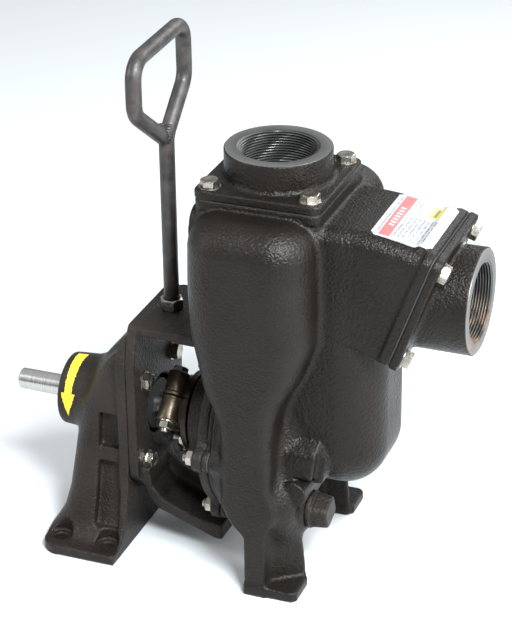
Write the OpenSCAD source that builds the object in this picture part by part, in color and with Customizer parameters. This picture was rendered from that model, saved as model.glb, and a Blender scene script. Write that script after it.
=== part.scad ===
// Self-priming trash pump, bare-shaft and pedestal-mounted.
// Millimetres. +X runs along the shaft from the drive end to the suction port, +Z is up.
// The modules place everything from the discharge port's axis, the shaft's symmetry plane and
// the floor; at_port() then moves it so that the origin is under the middle of the whole pump.

/* [Ports] */
// Radius of both pipe-port bosses
port_boss_r = 60; // [58:0.5:62]
// Radius of the tapped bore in both ports
port_bore_r = 42.5; // [40:0.5:44]
// Height of the discharge port's face
discharge_face_z = 505; // [500:1:515]
// Distance from the discharge axis to the suction port's face
suction_face_x = 233; // [228:1:240]
// Height of the suction port's axis
suction_z = 355; // [353:1:357]
// Backward lean of the suction flange
suction_tilt = 20; // [18:0.5:22]
// Half-width of the square port flanges
flange_half = 73.5; // [72:0.5:75]
// Half the bolt spacing of the port flanges
flange_bolt = 57.7; // [57:0.1:58.5]

/* [Shaft] */
// Height of the shaft's axis
shaft_z = 156; // [154:1:158]
// Radius of the shaft's keyed end
shaft_r = 12.7; // [12:0.1:13.5]
// Distance from the discharge axis to the shaft's tip
shaft_tip = 333; // [325:1:340]
// Radius of the bearing journals
journal_r = 15; // [14.5:0.5:15]

/* [Casing] */
// Half the front-to-back width of the discharge tower
tower_half_y = 128; // [124:1:130]
// Half the left-to-right width of the discharge tower
tower_half_x = 71.5; // [70:0.5:73]
// Radius of the volute's outside
volute_r = 108; // [106:1:110]
// Thickness of the cast walls
wall = 8; // [7:0.5:9]
// Half-width of the suction tank
tank_half_y = 71; // [69:1:73]

/* [Adapter] */
// Height of the adapter's top plate
adapter_top = 285; // [283:1:288]
// Half-width of the adapter's flange on the pedestal
adapter_half_y = 69; // [67:1:71]

/* [Pedestal] */
// Half-width of the pedestal's foot
foot_half_y = 124; // [120:1:126]
// Spacing of the foot's bolts along the shaft
foot_bolts_x = 59.5; // [56:0.5:62]
// Spacing of the foot's bolts across the shaft
foot_bolts_y = 200; // [190:1:204]

/* [Handle] */
// Radius of the lifting rod
rod_r = 8.9; // [8:0.1:9.5]
// Height of the middle of the lifting handle's grip
grip_z = 615; // [605:1:625]

/* [Hidden] */

$fn = 64;
port_x = (shaft_tip - suction_face_x) / 2;

iron = [0.10, 0.10, 0.11];
steel = [0.78, 0.76, 0.72];
bronze = [0.42, 0.34, 0.24];
rubber = [0.05, 0.05, 0.05];

// Stations along the shaft
rim_x = -44;
back_flange_x = -52;
adapter_face_x = -64;
volute_in_x = -36;
wear_x = 12;
wear_t = 6;
eye_r = 38;
cavity_r = 95;
stuffing_x = -98;
stuffing_bore_r = 25;
sleeve_r = 17;
gland_x = -108;
flange_right_x = -152;
mating_x = -164;
housing_x = -271;
journal_x = -275;
bearing_w = 19;
drive_bearing_x = -262;
rear_bearing_x = -197;
snap_x = rear_bearing_x + bearing_w;

// Suction tank and its drain
tank_low_z = 94;
tank_floor_z = 122;
tank_edge_r = 44;
drain_x = 56;
drain_y = -54;
drain_z = 86;

// Check valve: its pin above the flange's centre and behind the flange's inner face
valve_arm = 49;
valve_drop = 12;

// Gland studs, across and above or below the shaft
gland_stud_y = 25.5;

// Port flanges
plate_t = 10;
gasket_t = 1.6;
seat_z = 461.5;
corner_r = 12;
bolt_r = 6.2;
bolt_hole_r = 6.4;
hex_corner_r = 11;
hex_h = 8;

// Studs that hold the casing, back plate and adapter together
stud_count = 6;
stud_ring_r = 105.5;
stud_r = 4.7;
stud_hole_r = 5;

// Pedestal foot
foot_left_x = -260.5;
foot_t = 12;
foot_hole_r = 7;
foot_mid_x = -211.25;

// Bearings
race_out_r = 36;
ball_ring_r = 25.5;
ball_r = 6.1;
groove_r = 6.35;
land_in_r = 21.5;
land_out_r = 29.5;

// Lifting handle
handle_x = -132.65;
handle_foot_z = 246;
handle_sides = 16;
handle_bend_steps = 5;
nut_corner_r = 13.9;
// Corners of the bent rod, each [y, z, radius of the bend]
handle_line = [
    [0, handle_foot_z, 0], [0, 498, 20], [55, 548, 24], [54, grip_z, 22], [-82, grip_z - 3, 22],
    [-82, 553, 24], [-9.5, 499.8, 0]
];

// ---------- helpers ----------

module at_port() {
    translate([port_x, 0, 0]) children();
}

// Turns a solid built along +Z so that it runs along +X from [x, y, z]
module along_x(x, y = 0, z = shaft_z) {
    translate([x, y, z]) rotate([0, 90, 0]) children();
}

module ring_x(x, length, outer, inner) {
    along_x(x) difference() {
        cylinder(h = length, r = outer);
        translate([0, 0, -1]) cylinder(h = length + 2, r = inner);
    }
}

// Extrudes an outline drawn in X and Z between -half and +half along Y
module across(half) {
    rotate([90, 0, 0]) linear_extrude(height = 2 * half, center = true) children();
}

module box_between(low, high) {
    translate(low) cube(high - low);
}

function arc(cx, cy, r, from, to, steps = 6) =
    [for (i = [0:steps]) let (a = from + (to - from) * i / steps) [cx + r * cos(a), cy + r * sin(a)]];

module rounded_square(half, r) {
    polygon(concat(
        arc(half - r, half - r, r, 0, 90), arc(r - half, half - r, r, 90, 180),
        arc(r - half, r - half, r, 180, 270), arc(half - r, r - half, r, 270, 360)));
}

module at_corners(half) {
    for (sx = [-1, 1], sy = [-1, 1]) translate([sx * half, sy * half, 0]) children();
}

module at_studs(x) {
    for (i = [0:stud_count - 1])
        along_x(x, stud_ring_r * cos(i * 60), shaft_z + stud_ring_r * sin(i * 60)) children();
}

module hex(h, corner_r) {
    cylinder(h = h, r = corner_r, $fn = 6);
}

// Puts children on the leaning suction flange: +Z is its outward normal, and the plate's
// outer face is at z = 0
module on_suction_flange() {
    translate([184.2, 0, 357.4]) rotate([0, 90 + suction_tilt, 0]) children();
}

// Puts children on the discharge flange's underside, at the casing's sealing face
module on_discharge_seat() {
    translate([0, 0, seat_z - gasket_t]) children();
}

// ---------- casing ----------

// The tower from the side: wide at the neck, narrow where it wraps the volute
module tower_side(inset) {
    offset(delta = -inset) polygon([
        [-26, 100], [-27, 200], [-37, 230], [-49, 252], [-57, 283], [-68, 318],
        [-tower_half_x, 350], [-tower_half_x, 456], [tower_half_x, 456], [tower_half_x, 318],
        [50, 273], [30, 242], [19, 222], [15, 190], [15, 100]
    ]);
}

// The tower from the drive end: round shoulders, sides running down into the legs
module tower_end(inset) {
    shoulder = 28 - inset;
    half = tower_half_y - inset;
    top = 452 - inset;
    polygon(concat(
        [[123 - inset, 100], [124 - inset, 230], [half, 330]],
        arc(half - shoulder, top - shoulder, shoulder, 0, 90),
        arc(shoulder - half, top - shoulder, shoulder, 90, 180),
        [[-half, 330], [inset - 124, 230], [inset - 123, 100]]));
}

module tower(inset) {
    intersection() {
        across(200) tower_side(inset);
        translate([-100, 0, 0]) rotate([90, 0, 90]) linear_extrude(height = 200)
            tower_end(inset);
    }
}

// Suction chamber and priming tank: flat top falling to the suction flange, round bottom
module tank_side() {
    polygon(concat(
        [[10, 446], [10, tank_low_z]],
        arc(84, tank_low_z + 57, 57, 270, 360),
        [[144, 262], [147, 296], [193, 424], [188, 431], [118, 446]]));
}

module tank_cavity_side() {
    polygon(concat(
        [[24, 222], [24, tank_floor_z]],
        arc(100, tank_floor_z + 36, 36, 270, 360),
        [[136, 262], [139, 298], [183, 418], [180, 424], [118, 438], [80, 438], [80, 322],
         [59, 280], [40, 252]]));
}

// The tank from the drive end: flat sides, well-rounded lower edges
module tank_end(inset) {
    half = tank_half_y - inset;
    edge = tank_edge_r - inset;
    centre_z = tank_low_z + tank_edge_r;
    polygon(concat(
        arc(half - edge, centre_z, edge, 270, 360),
        [[half, 470], [-half, 470]],
        arc(edge - half, centre_z, edge, 180, 270)));
}

module tank(inset) {
    intersection() {
        across(200) children();
        rotate([90, 0, 90]) linear_extrude(height = 210) tank_end(inset);
    }
}

module casing_leg(side) {
    foot_in = 74.7;
    foot_out = 122.6;
    low = side > 0 ? foot_in : -foot_out;
    // Foot pad
    box_between([0.3, low, 0], [62.6, low + foot_out - foot_in, 10]);
    // Outer rib, running up into the tower
    box_between([0.3, low, 0], [24.6, low + foot_out - foot_in, 125]);
    // Recessed web behind the rib
    translate([0, side * 88, 0]) across(7)
        polygon([[20, 5], [52, 5], [50, 14], [42, 84], [20, 100]]);
}

module casing_body() {
    tower(0);
    // Neck under the discharge flange
    box_between([-tower_half_x, -69, 380], [tower_half_x, 69, 456]);
    translate([0, 0, 448]) linear_extrude(height = seat_z - gasket_t - 448)
        rounded_square(flange_half - 1, corner_r);
    // Volute and its bulge on the suction side
    along_x(rim_x) cylinder(h = 60, r = volute_r);
    along_x(0) cylinder(h = 50, r = 88);
    // Bosses that take the studs
    at_studs(rim_x) cylinder(h = 22, r = 12);
    tank(0) tank_side();
    // Flange that takes the leaning suction casting
    on_suction_flange() translate([0, 0, -20]) linear_extrude(height = 20 - plate_t - gasket_t)
        rounded_square(flange_half - 1, corner_r);
    for (side = [-1, 1]) casing_leg(side);
    // Cast pad on the near side
    box_between([27, -86, 143], [75, -60, 187]);
    // Drain boss
    along_x(30, drain_y, drain_z) cylinder(h = drain_x - 30, r = 24);
}

module casing() {
    color(iron) at_port() difference() {
        casing_body();
        tower(wall);
        on_discharge_seat() translate([0, 0, -30]) cylinder(h = 40, r = 52);
        on_discharge_seat() translate([0, 0, -12]) at_corners(flange_bolt)
            cylinder(h = 20, r = bolt_hole_r);
        // Impeller chamber, its open back, and the suction eye
        along_x(volute_in_x) cylinder(h = wear_x + wear_t - volute_in_x, r = cavity_r);
        along_x(rim_x - 1) cylinder(h = 12, r = cavity_r + 2);
        along_x(0) cylinder(h = 40, r = eye_r + 3);
        // Tank, drain sump, drain hole and the room round its plug
        tank(wall) tank_cavity_side();
        along_x(26) cylinder(h = 16, r = 76);
        along_x(40, drain_y, drain_z) cylinder(h = 20, r = 12);
        along_x(drain_x, drain_y, drain_z) cylinder(h = 34, r = 25);
        // Spot face for the back plate, its lugs and the stud nuts
        along_x(adapter_face_x - 10) cylinder(h = rim_x - adapter_face_x + 10, r = 101);
        at_studs(adapter_face_x - 10) cylinder(h = rim_x - adapter_face_x + 10, r = 14);
        on_suction_flange() translate([0, 0, -40]) cylinder(h = 40, r = 56);
        on_suction_flange() translate([0, 0, -26]) at_corners(flange_bolt)
            cylinder(h = 20, r = bolt_hole_r);
        at_studs(rim_x - 1) cylinder(h = 19, r = stud_r + 0.05);
    }
}

module wear_plate() {
    color(iron) at_port() ring_x(wear_x, wear_t, cavity_r - 0.3, eye_r);
}

// ---------- port flanges ----------

module discharge_flange() {
    color(iron) at_port() difference() {
        union() {
            translate([0, 0, seat_z]) linear_extrude(height = plate_t)
                rounded_square(flange_half, corner_r);
            translate([0, 0, seat_z]) cylinder(h = discharge_face_z - seat_z, r = port_boss_r);
        }
        translate([0, 0, seat_z - 1]) cylinder(h = 60, r = port_bore_r);
        translate([0, 0, discharge_face_z - 3])
            cylinder(h = 3.01, r1 = port_bore_r, r2 = port_bore_r + 3);
        translate([0, 0, seat_z - 1]) at_corners(flange_bolt)
            cylinder(h = plate_t + 2, r = bolt_hole_r);
    }
}

module flange_gasket(hole_r) {
    difference() {
        linear_extrude(height = gasket_t) rounded_square(flange_half - 1.5, corner_r);
        translate([0, 0, -1]) cylinder(h = 4, r = hole_r);
        translate([0, 0, -1]) at_corners(flange_bolt) cylinder(h = 4, r = bolt_hole_r);
    }
}

module flange_bolt_set(grip, shank) {
    at_corners(flange_bolt) {
        translate([0, 0, grip]) cylinder(h = 1.5, r = 12.4);
        translate([0, 0, grip + 1.5]) rotate([0, 0, 15]) hex(hex_h, hex_corner_r);
        translate([0, 0, grip - shank]) cylinder(h = shank + 1.5, r = bolt_r);
    }
}

module discharge_gasket() {
    color(rubber) at_port() on_discharge_seat() flange_gasket(50);
}

module discharge_bolts() {
    color(steel) at_port() on_discharge_seat() flange_bolt_set(gasket_t + plate_t, 23);
}

// The leaning plate with its level port, and the two lugs that carry the valve's pin
module suction_flange() {
    neck_x = 191;
    color(iron) at_port() difference() {
        union() {
            on_suction_flange() translate([0, 0, -plate_t]) linear_extrude(height = plate_t)
                rounded_square(flange_half, corner_r);
            intersection() {
                along_x(150, 0, suction_z) cylinder(h = suction_face_x - 150, r = port_boss_r);
                on_suction_flange() translate([-120, -120, -plate_t]) cube([240, 240, 200]);
            }
            for (side = [-1, 1]) on_suction_flange()
                translate([-53, side * 14 - 3, -plate_t - 16]) cube([10, 6, 17]);
        }
        along_x(neck_x, 0, suction_z) cylinder(h = 60, r = port_bore_r);
        along_x(suction_face_x - 3, 0, suction_z)
            cylinder(h = 3.01, r1 = port_bore_r, r2 = port_bore_r + 3);
        along_x(120, 0, suction_z) cylinder(h = 80, r = 38);
        on_suction_flange() translate([0, 0, -plate_t - 1]) at_corners(flange_bolt)
            cylinder(h = plate_t + 2, r = bolt_hole_r);
        on_suction_flange() translate([-valve_arm, 0, -plate_t - valve_drop])
            rotate([90, 0, 0]) cylinder(h = 60, r = 2.55, center = true);
    }
}

module suction_gasket() {
    color(rubber) at_port() on_suction_flange() translate([0, 0, -plate_t - gasket_t])
        flange_gasket(56);
}

module suction_bolts() {
    color(steel) at_port() on_suction_flange() translate([0, 0, -plate_t])
        flange_bolt_set(plate_t, 23);
}

// ---------- check valve, hung inside the suction port ----------

module on_valve_pin() {
    on_suction_flange() translate([-valve_arm, 0, -plate_t - valve_drop]) children();
}

module valve_hinge_pin() {
    color(steel) at_port() on_valve_pin() rotate([90, 0, 0])
        cylinder(h = 36, r = 2.5, center = true);
}

module valve_flapper() {
    color(rubber) at_port() on_suction_flange() translate([0, 0, -plate_t - 5.4])
        cylinder(h = 5, r = 43);
}

module valve_weight() {
    color(iron) at_port() difference() {
        union() {
            on_suction_flange() translate([0, 0, -plate_t - 12.4]) cylinder(h = 7, r = 34);
            on_suction_flange() translate([-valve_arm, -10, -plate_t - 15.4])
                cube([25, 20, 7]);
            on_valve_pin() rotate([90, 0, 0]) cylinder(h = 20, r = 5.5, center = true);
        }
        on_valve_pin() rotate([90, 0, 0]) cylinder(h = 30, r = 2.56, center = true);
    }
}

module valve_screw() {
    color(steel) at_port() on_suction_flange() translate([0, 0, -plate_t - 16.4])
        hex(4, 8);
}

// ---------- drain ----------

module drain_plug() {
    color(iron) at_port() {
        along_x(drain_x - 12, drain_y, drain_z) cylinder(h = 14, r = 11.9);
        along_x(drain_x, drain_y, drain_z) cylinder(h = 5, r = 22);
        along_x(drain_x + 5, drain_y, drain_z) intersection() {
            rotate([0, 0, 20]) translate([-17, -17, 0]) cube([34, 34, 20]);
            cylinder(h = 20, r = 21);
        }
    }
}

// ---------- back plate, packing and gland ----------

module back_plate() {
    color(iron) at_port() difference() {
        union() {
            along_x(back_flange_x) cylinder(h = 6.5, r = 100);
            at_studs(back_flange_x) cylinder(h = 6.5, r = 12);
            along_x(-47) cylinder(h = 11, r = cavity_r + 1.8);
            along_x(-72) cylinder(h = 22, r = 66);
            along_x(stuffing_x) cylinder(h = 40, r = 48);
        }
        along_x(stuffing_x - 1) cylinder(h = 50, r = stuffing_bore_r);
        along_x(-60) cylinder(h = 40, r = sleeve_r + 1);
        at_studs(back_flange_x - 1) cylinder(h = 10, r = stud_hole_r);
        for (side = [-1, 1])
            along_x(stuffing_x - 1, side * gland_stud_y, shaft_z + side * gland_stud_y)
                cylinder(h = 16, r = stud_r + 0.05);
    }
}

module back_gasket() {
    color(rubber) at_port() difference() {
        union() {
            along_x(-45.5) cylinder(h = 1.5, r = 100);
            at_studs(-45.5) cylinder(h = 1.5, r = 12);
        }
        along_x(-46) cylinder(h = 3, r = cavity_r + 2);
        at_studs(-46) cylinder(h = 3, r = stud_hole_r);
    }
}

module packing_rings() {
    color([0.75, 0.72, 0.62]) at_port()
        for (x = [-89.5, -81.4, -65.2, -57.1]) ring_x(x, 8, stuffing_bore_r - 0.05, sleeve_r + 0.3);
}

module lantern_ring() {
    color(bronze) at_port() ring_x(-73.3, 8, stuffing_bore_r - 0.1, sleeve_r + 0.5);
}

// The gland is split along a plane that leans 45 degrees, so it comes off round the shaft
module gland_half(side) {
    color(bronze) at_port() translate([0, 0, shaft_z]) rotate([-45, 0, 0])
        translate([0, 0, -shaft_z]) difference() {
            union() {
                along_x(gland_x) cylinder(h = 8, r = 47);
                along_x(gland_x) cylinder(h = 17.5, r = stuffing_bore_r - 0.5);
                along_x(gland_x - 27) cylinder(h = 28, r = 27);
                for (end = [-1, 1]) translate([gland_x - 14, end * 38, shaft_z])
                    cylinder(h = 62, r = 12.5, center = true);
            }
            along_x(gland_x - 60) cylinder(h = 100, r = sleeve_r + 1);
            for (end = [-1, 1]) {
                translate([gland_x - 14, end * 38, shaft_z - 50]) cylinder(h = 100, r = 5.3);
                along_x(gland_x - 1, 0, shaft_z + end * gland_stud_y * sqrt(2))
                    cylinder(h = 20, r = 5.3);
            }
            box_between([-200, -60, shaft_z - side * 50 - 50.4],
                        [-80, 60, shaft_z - side * 50 + 50.4]);
        }
}

module gland_upper_half() {
    gland_half(1);
}

module gland_lower_half() {
    gland_half(-1);
}

module gland_clamp_bolts() {
    color(steel) at_port() translate([0, 0, shaft_z]) rotate([-45, 0, 0])
        for (end = [-1, 1]) translate([gland_x - 14, end * 38, 0]) {
            translate([0, 0, -42]) cylinder(h = 74, r = 5);
            translate([0, 0, -39]) hex(8, 9.5);
            translate([0, 0, 31]) hex(6.5, 9.5);
        }
}

module gland_studs() {
    color(steel) at_port() for (side = [-1, 1])
        along_x(-124, side * gland_stud_y, shaft_z + side * gland_stud_y)
            cylinder(h = 40, r = stud_r);
}

module gland_nuts() {
    color(steel) at_port() for (side = [-1, 1])
        along_x(gland_x - 7.5, side * gland_stud_y, shaft_z + side * gland_stud_y)
            difference() {
                hex(7.5, 8.6);
                translate([0, 0, -1]) cylinder(h = 10, r = stud_r + 0.3);
            }
}

// ---------- adapter between the casing and the pedestal ----------

module adapter_bracket() {
    color(iron) at_port() difference() {
        union() {
            // Flange on the pedestal, with rounded upper corners
            translate([mating_x, 0, 0]) rotate([90, 0, 90])
                linear_extrude(height = flange_right_x - mating_x) polygon(concat(
                    [[adapter_half_y, 92]],
                    arc(adapter_half_y - 12, adapter_top - 12, 12, 0, 90),
                    arc(12 - adapter_half_y, adapter_top - 12, 12, 90, 180),
                    [[-adapter_half_y, 92], [-30, 60], [30, 60]]));
            // Flange on the casing
            along_x(adapter_face_x) cylinder(h = 12, r = 100);
            at_studs(adapter_face_x) cylinder(h = 12, r = 13.5);
            // Top plate, joined to the casing flange by its web
            box_between([mating_x + 4, -66, adapter_top - 10], [-78, 66, adapter_top]);
            across(66) polygon([[-92, 276], [-78, 285], [-60, 262], [-60, 240], [-66, 240]]);
            // Bottom arm: sloping floor plate with a centre web
            across(58) polygon([[-156, 84], [-146, 50], [-62, 22], [-52, 22], [-52, 44],
                                [-64, 38], [-134, 62], [-146, 84]]);
            across(6) polygon(concat([[-156, 92], [-146, 56], [-62, 28]],
                arc(-76, 150, 84, 285, 210)));
        }
        // Openings for the shaft and the stuffing box
        along_x(mating_x - 1) cylinder(h = 20, r = 36);
        along_x(-90) cylinder(h = 50, r = 68);
        at_studs(adapter_face_x - 1) cylinder(h = 14, r = stud_hole_r);
        // Room for a spanner on the stud nuts
        at_studs(adapter_face_x - 30) cylinder(h = 30, r = 12);
        for (sy = [-1, 1], sz = [-1, 1])
            along_x(mating_x - 1, sy * 41.5, shaft_z - 2 + sz * 52.5)
                cylinder(h = 20, r = bolt_hole_r);
        translate([handle_x, 0, adapter_top - 20]) cylinder(h = 30, r = rod_r + 0.2);
    }
}

module adapter_studs() {
    color(steel) at_port() {
        at_studs(adapter_face_x - 14) cylinder(h = 48, r = stud_r);
        at_studs(adapter_face_x - 9) hex(9, 9.2);
    }
}

module adapter_bolts() {
    color(steel) at_port() for (sy = [-1, 1], sz = [-1, 1]) {
        along_x(flange_right_x, sy * 41.5, shaft_z - 2 + sz * 52.5) {
            cylinder(h = 1.5, r = 12.4);
            translate([0, 0, -24]) cylinder(h = 26, r = bolt_r);
            translate([0, 0, 1.5]) hex(hex_h, hex_corner_r);
        }
    }
}

// ---------- bearing pedestal ----------

module pedestal_body() {
    // Foot
    difference() {
        translate([foot_left_x, -foot_half_y, 0])
            cube([mating_x - foot_left_x, 2 * foot_half_y, foot_t]);
        for (side = [-1, 1]) translate([foot_left_x, side * foot_half_y, -1])
            rotate([0, 0, 45]) cube([26, 26, 40], center = true);
    }
    // Column, from the drive end
    translate([-206, 0, 0]) rotate([90, 0, 90]) linear_extrude(height = 20)
        polygon([[96, 5], [96, 12], [70, 90], [62, 120], [62, 240], [50, 270], [-50, 270],
                 [-62, 240], [-62, 120], [-70, 90], [-96, 12], [-96, 5]]);
    // Flange on the adapter
    translate([mating_x - 12, 0, 0]) rotate([90, 0, 90]) linear_extrude(height = 12)
        polygon([[adapter_half_y, 5], [adapter_half_y, 240], [52, 281], [-52, 281],
                 [-adapter_half_y, 240], [-adapter_half_y, 5]]);
    // Centre web from the foot up to the housing, flared at the foot
    across(38) polygon([[mating_x - 6, 4], [-255, 4], [-250, 16], [-237, 32], [-230, 60],
                        [-226, 110], [-224, 156], [mating_x - 6, 156]]);
    // Ribs that join the column to the adapter flange
    for (side = [-1, 1]) translate([0, side * 56, 0]) across(6)
        polygon([[mating_x - 6, 5], [-232, 5], [-226, 40], [-214, 90], [-206, 150],
                 [-206, 240], [-178, 268], [mating_x - 6, 276]]);
    // Shoulder over the housing
    across(30) polygon([[mating_x - 6, 150], [-224, 150], [-224, 196], [-205, 214],
                        [-176, 281], [mating_x - 6, 281]]);
    // Bearing housing
    along_x(housing_x) cylinder(h = mating_x - housing_x, r = 46);
}

module bearing_pedestal() {
    color(iron) at_port() difference() {
        pedestal_body();
        along_x(housing_x - 1) cylinder(h = 20, r = 31);
        along_x(drive_bearing_x) cylinder(h = 120, r = race_out_r);
        // Snap-ring groove
        along_x(snap_x) cylinder(h = 2.2, r = race_out_r + 2);
        for (sy = [-1, 1], sz = [-1, 1])
            along_x(mating_x - 30, sy * 41.5, shaft_z - 2 + sz * 52.5)
                cylinder(h = 40, r = bolt_hole_r);
        for (sx = [-1, 1], sy = [-1, 1])
            translate([foot_mid_x + sx * foot_bolts_x / 2, sy * foot_bolts_y / 2, -1])
                cylinder(h = 40, r = foot_hole_r);
    }
}

module drive_seal() {
    color(rubber) at_port() ring_x(housing_x + 0.5, 8, 31, journal_r + 0.05);
}

module inner_seal() {
    color(rubber) at_port() ring_x(mating_x - 10, 8, race_out_r, journal_r + 0.05);
}

module race_outer(x) {
    at_port() difference() {
        ring_x(x, bearing_w, race_out_r, land_out_r);
        along_x(x + bearing_w / 2) rotate_extrude() translate([ball_ring_r, 0])
            circle(r = groove_r);
    }
}

module race_inner(x) {
    at_port() difference() {
        ring_x(x, bearing_w, land_in_r, journal_r);
        along_x(x + bearing_w / 2) rotate_extrude() translate([ball_ring_r, 0])
            circle(r = groove_r);
    }
}

// Balls joined by their cage, which goes round slower than the shaft
module ball_set(x) {
    at_port() {
        ring_x(x + 6.5, 6, ball_ring_r + 1, ball_ring_r - 1);
        for (i = [0:7]) along_x(x + bearing_w / 2) rotate([0, 0, i * 45])
            translate([ball_ring_r, 0, 0]) sphere(r = ball_r);
    }
}

module drive_bearing_outer() {
    color(steel) race_outer(drive_bearing_x);
}

module drive_bearing_balls() {
    color(steel) ball_set(drive_bearing_x);
}

module drive_bearing_inner() {
    color(steel) race_inner(drive_bearing_x);
}

module rear_bearing_outer() {
    color(steel) race_outer(rear_bearing_x);
}

module rear_bearing_balls() {
    color(steel) ball_set(rear_bearing_x);
}

module rear_bearing_inner() {
    color(steel) race_inner(rear_bearing_x);
}

module bearing_snap_ring() {
    color(steel) at_port() ring_x(snap_x + 0.1, 2, race_out_r + 1.9, race_out_r - 4);
}

// ---------- rotor ----------

module shaft() {
    color([0.82, 0.80, 0.77]) at_port() difference() {
        union() {
            along_x(-shaft_tip) cylinder(h = 1.5, r1 = shaft_r - 1.5, r2 = shaft_r);
            along_x(1.5 - shaft_tip) cylinder(h = 80, r = shaft_r);
            along_x(journal_x) cylinder(h = -126 - journal_x, r = journal_r);
            // Shoulder between the bearings
            along_x(drive_bearing_x + bearing_w)
                cylinder(h = rear_bearing_x - drive_bearing_x - bearing_w, r = 19);
            along_x(-130) cylinder(h = 104, r = 13);
            along_x(-30) cylinder(h = 28, r = 11);
        }
        // Keyway under the drive end
        box_between([-shaft_tip - 1, -3.2, shaft_z - shaft_r - 1],
                    [-shaft_tip + 48, 3.2, shaft_z - shaft_r + 3.4]);
        impeller_keyway();
        along_x(-20) cylinder(h = 30, r = 4.2);
    }
}

module impeller_keyway() {
    box_between([-22, -3, shaft_z + 8], [-5, 3, shaft_z + 13]);
}

module impeller_key() {
    color(steel) at_port() impeller_keyway();
}

module shaft_sleeve() {
    color(bronze) at_port() ring_x(-126, 94, sleeve_r, 13);
}

// One backward-swept vane: part of a ring between the eye and the rim
module impeller_vane() {
    intersection() {
        translate([38, -22, 0]) difference() {
            cylinder(h = 35.5, r = 52);
            translate([0, 0, -1]) cylinder(h = 38, r = 45);
        }
        translate([0, -110, 0]) cube([110, 110, 40]);
        difference() {
            cylinder(h = 36, r = 86);
            translate([0, 0, -1]) cylinder(h = 38, r = 24);
        }
    }
}

module impeller() {
    color(iron) at_port() difference() {
        union() {
            along_x(-32) cylinder(h = 8, r = 88);
            along_x(-32) cylinder(h = 30, r = 21);
            along_x(-25) for (i = [0:2]) rotate([0, 0, i * 120]) impeller_vane();
        }
        along_x(-60) cylinder(h = 34, r = 13);
        along_x(-60) cylinder(h = 80, r = 11);
        impeller_keyway();
    }
}

module impeller_washer() {
    color(steel) at_port() ring_x(-2, 3, 18, 4.4);
}

module impeller_screw() {
    color(steel) at_port() {
        along_x(1) hex(8, 9);
        along_x(-18) cylinder(h = 20, r = 4.15);
    }
}

module water_slinger() {
    color(rubber) at_port() ring_x(-159, 5, 30, journal_r);
}

// ---------- lifting handle ----------

// Heading of the rod's run that starts at corner i, in degrees
function run_angle(i) = atan2(handle_line[i + 1][1] - handle_line[i][1],
                              handle_line[i + 1][0] - handle_line[i][0]);

// Turn at corner i, from -180 to 180 degrees; the ends of the rod don't turn
function corner_turn(i) = i == 0 || i == len(handle_line) - 1 ? 0 :
    let (t = run_angle(i) - run_angle(i - 1)) t > 180 ? t - 360 : t < -180 ? t + 360 : t;

// Length that the bend at corner i takes from the runs on both sides of it
function bend_length(i) = handle_line[i][2] * tan(abs(corner_turn(i)) / 2);

function heading(angle) = [cos(angle), sin(angle)];

// Stations along the rod's middle line, each [y, z, heading]: bends are arcs in equal steps
function handle_stations() = [for (i = [0:len(handle_line) - 1])
    let (corner = [handle_line[i][0], handle_line[i][1]], turn = corner_turn(i),
         before = run_angle(i == 0 ? 0 : i - 1), radius = handle_line[i][2], side = sign(turn),
         centre = corner - bend_length(i) * heading(before) + side * radius * heading(before + 90),
         steps = turn == 0 ? 0 : handle_bend_steps)
    for (j = [0:steps])
        let (angle = before + (steps == 0 ? 0 : turn * j / steps),
             at = centre + side * radius * heading(angle - 90))
            [at[0], at[1], angle]];

module lifting_handle() {
    stations = handle_stations();
    rings = len(stations);
    sides = handle_sides;
    points = [for (s = stations, k = [0:sides - 1]) let (around = 360 * k / sides)
        [rod_r * sin(around), s[0] + rod_r * cos(around) * heading(s[2] + 90)[0],
         s[1] + rod_r * cos(around) * heading(s[2] + 90)[1]]];
    walls = [for (i = [0:rings - 2], k = [0:sides - 1]) let (n = (k + 1) % sides)
        [i * sides + k, i * sides + n, (i + 1) * sides + n, (i + 1) * sides + k]];
    ends = [[for (k = [0:sides - 1]) sides - 1 - k], [for (k = [0:sides - 1]) (rings - 1) * sides + k]];
    color([0.16, 0.13, 0.12]) at_port() translate([handle_x, 0, 0])
        polyhedron(points = points, faces = concat(walls, ends));
}

module handle_nut(z, h) {
    color(steel) at_port() translate([handle_x, 0, z]) difference() {
        hex(h, nut_corner_r);
        translate([0, 0, -1]) cylinder(h = h + 2, r = rod_r);
    }
}

module handle_top_nut() {
    handle_nut(adapter_top, 13.5);
}

module handle_bottom_nut() {
    handle_nut(adapter_top - 10 - 13.5, 13.5);
}

// ---------- label ----------

module label_plate() {
    // Lies on the tank's sloping top
    slope = atan2(431 - 446, 188 - 118);
    color("white") at_port() translate([121, 0, 445.4]) rotate([0, -slope, 0])
        box_between([0, -52.5, 0.05], [66, 52.5, 0.6]);
}

casing();
wear_plate();
discharge_flange();
discharge_gasket();
discharge_bolts();
suction_flange();
suction_gasket();
suction_bolts();
valve_hinge_pin();
valve_flapper();
valve_weight();
valve_screw();
drain_plug();
back_plate();
back_gasket();
packing_rings();
lantern_ring();
gland_upper_half();
gland_lower_half();
gland_clamp_bolts();
gland_studs();
gland_nuts();
adapter_bracket();
adapter_studs();
adapter_bolts();
bearing_pedestal();
drive_seal();
inner_seal();
drive_bearing_outer();
drive_bearing_balls();
drive_bearing_inner();
rear_bearing_outer();
rear_bearing_balls();
rear_bearing_inner();
bearing_snap_ring();
shaft();
impeller_key();
shaft_sleeve();
impeller();
impeller_washer();
impeller_screw();
water_slinger();
lifting_handle();
handle_top_nut();
handle_bottom_nut();
label_plate();
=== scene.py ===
"""Self-priming trash pump: cast housings, machined ports, fasteners and finishes around the CAD frame.

Shapes are worked out in millimetres from the discharge port's axis, the shaft's symmetry plane and the
floor, like the CAD source, and moved into the shared frame in metres when an object is made.
"""
import math
import bmesh
import bpy
import numpy as np
from mathutils import Matrix, Vector


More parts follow.
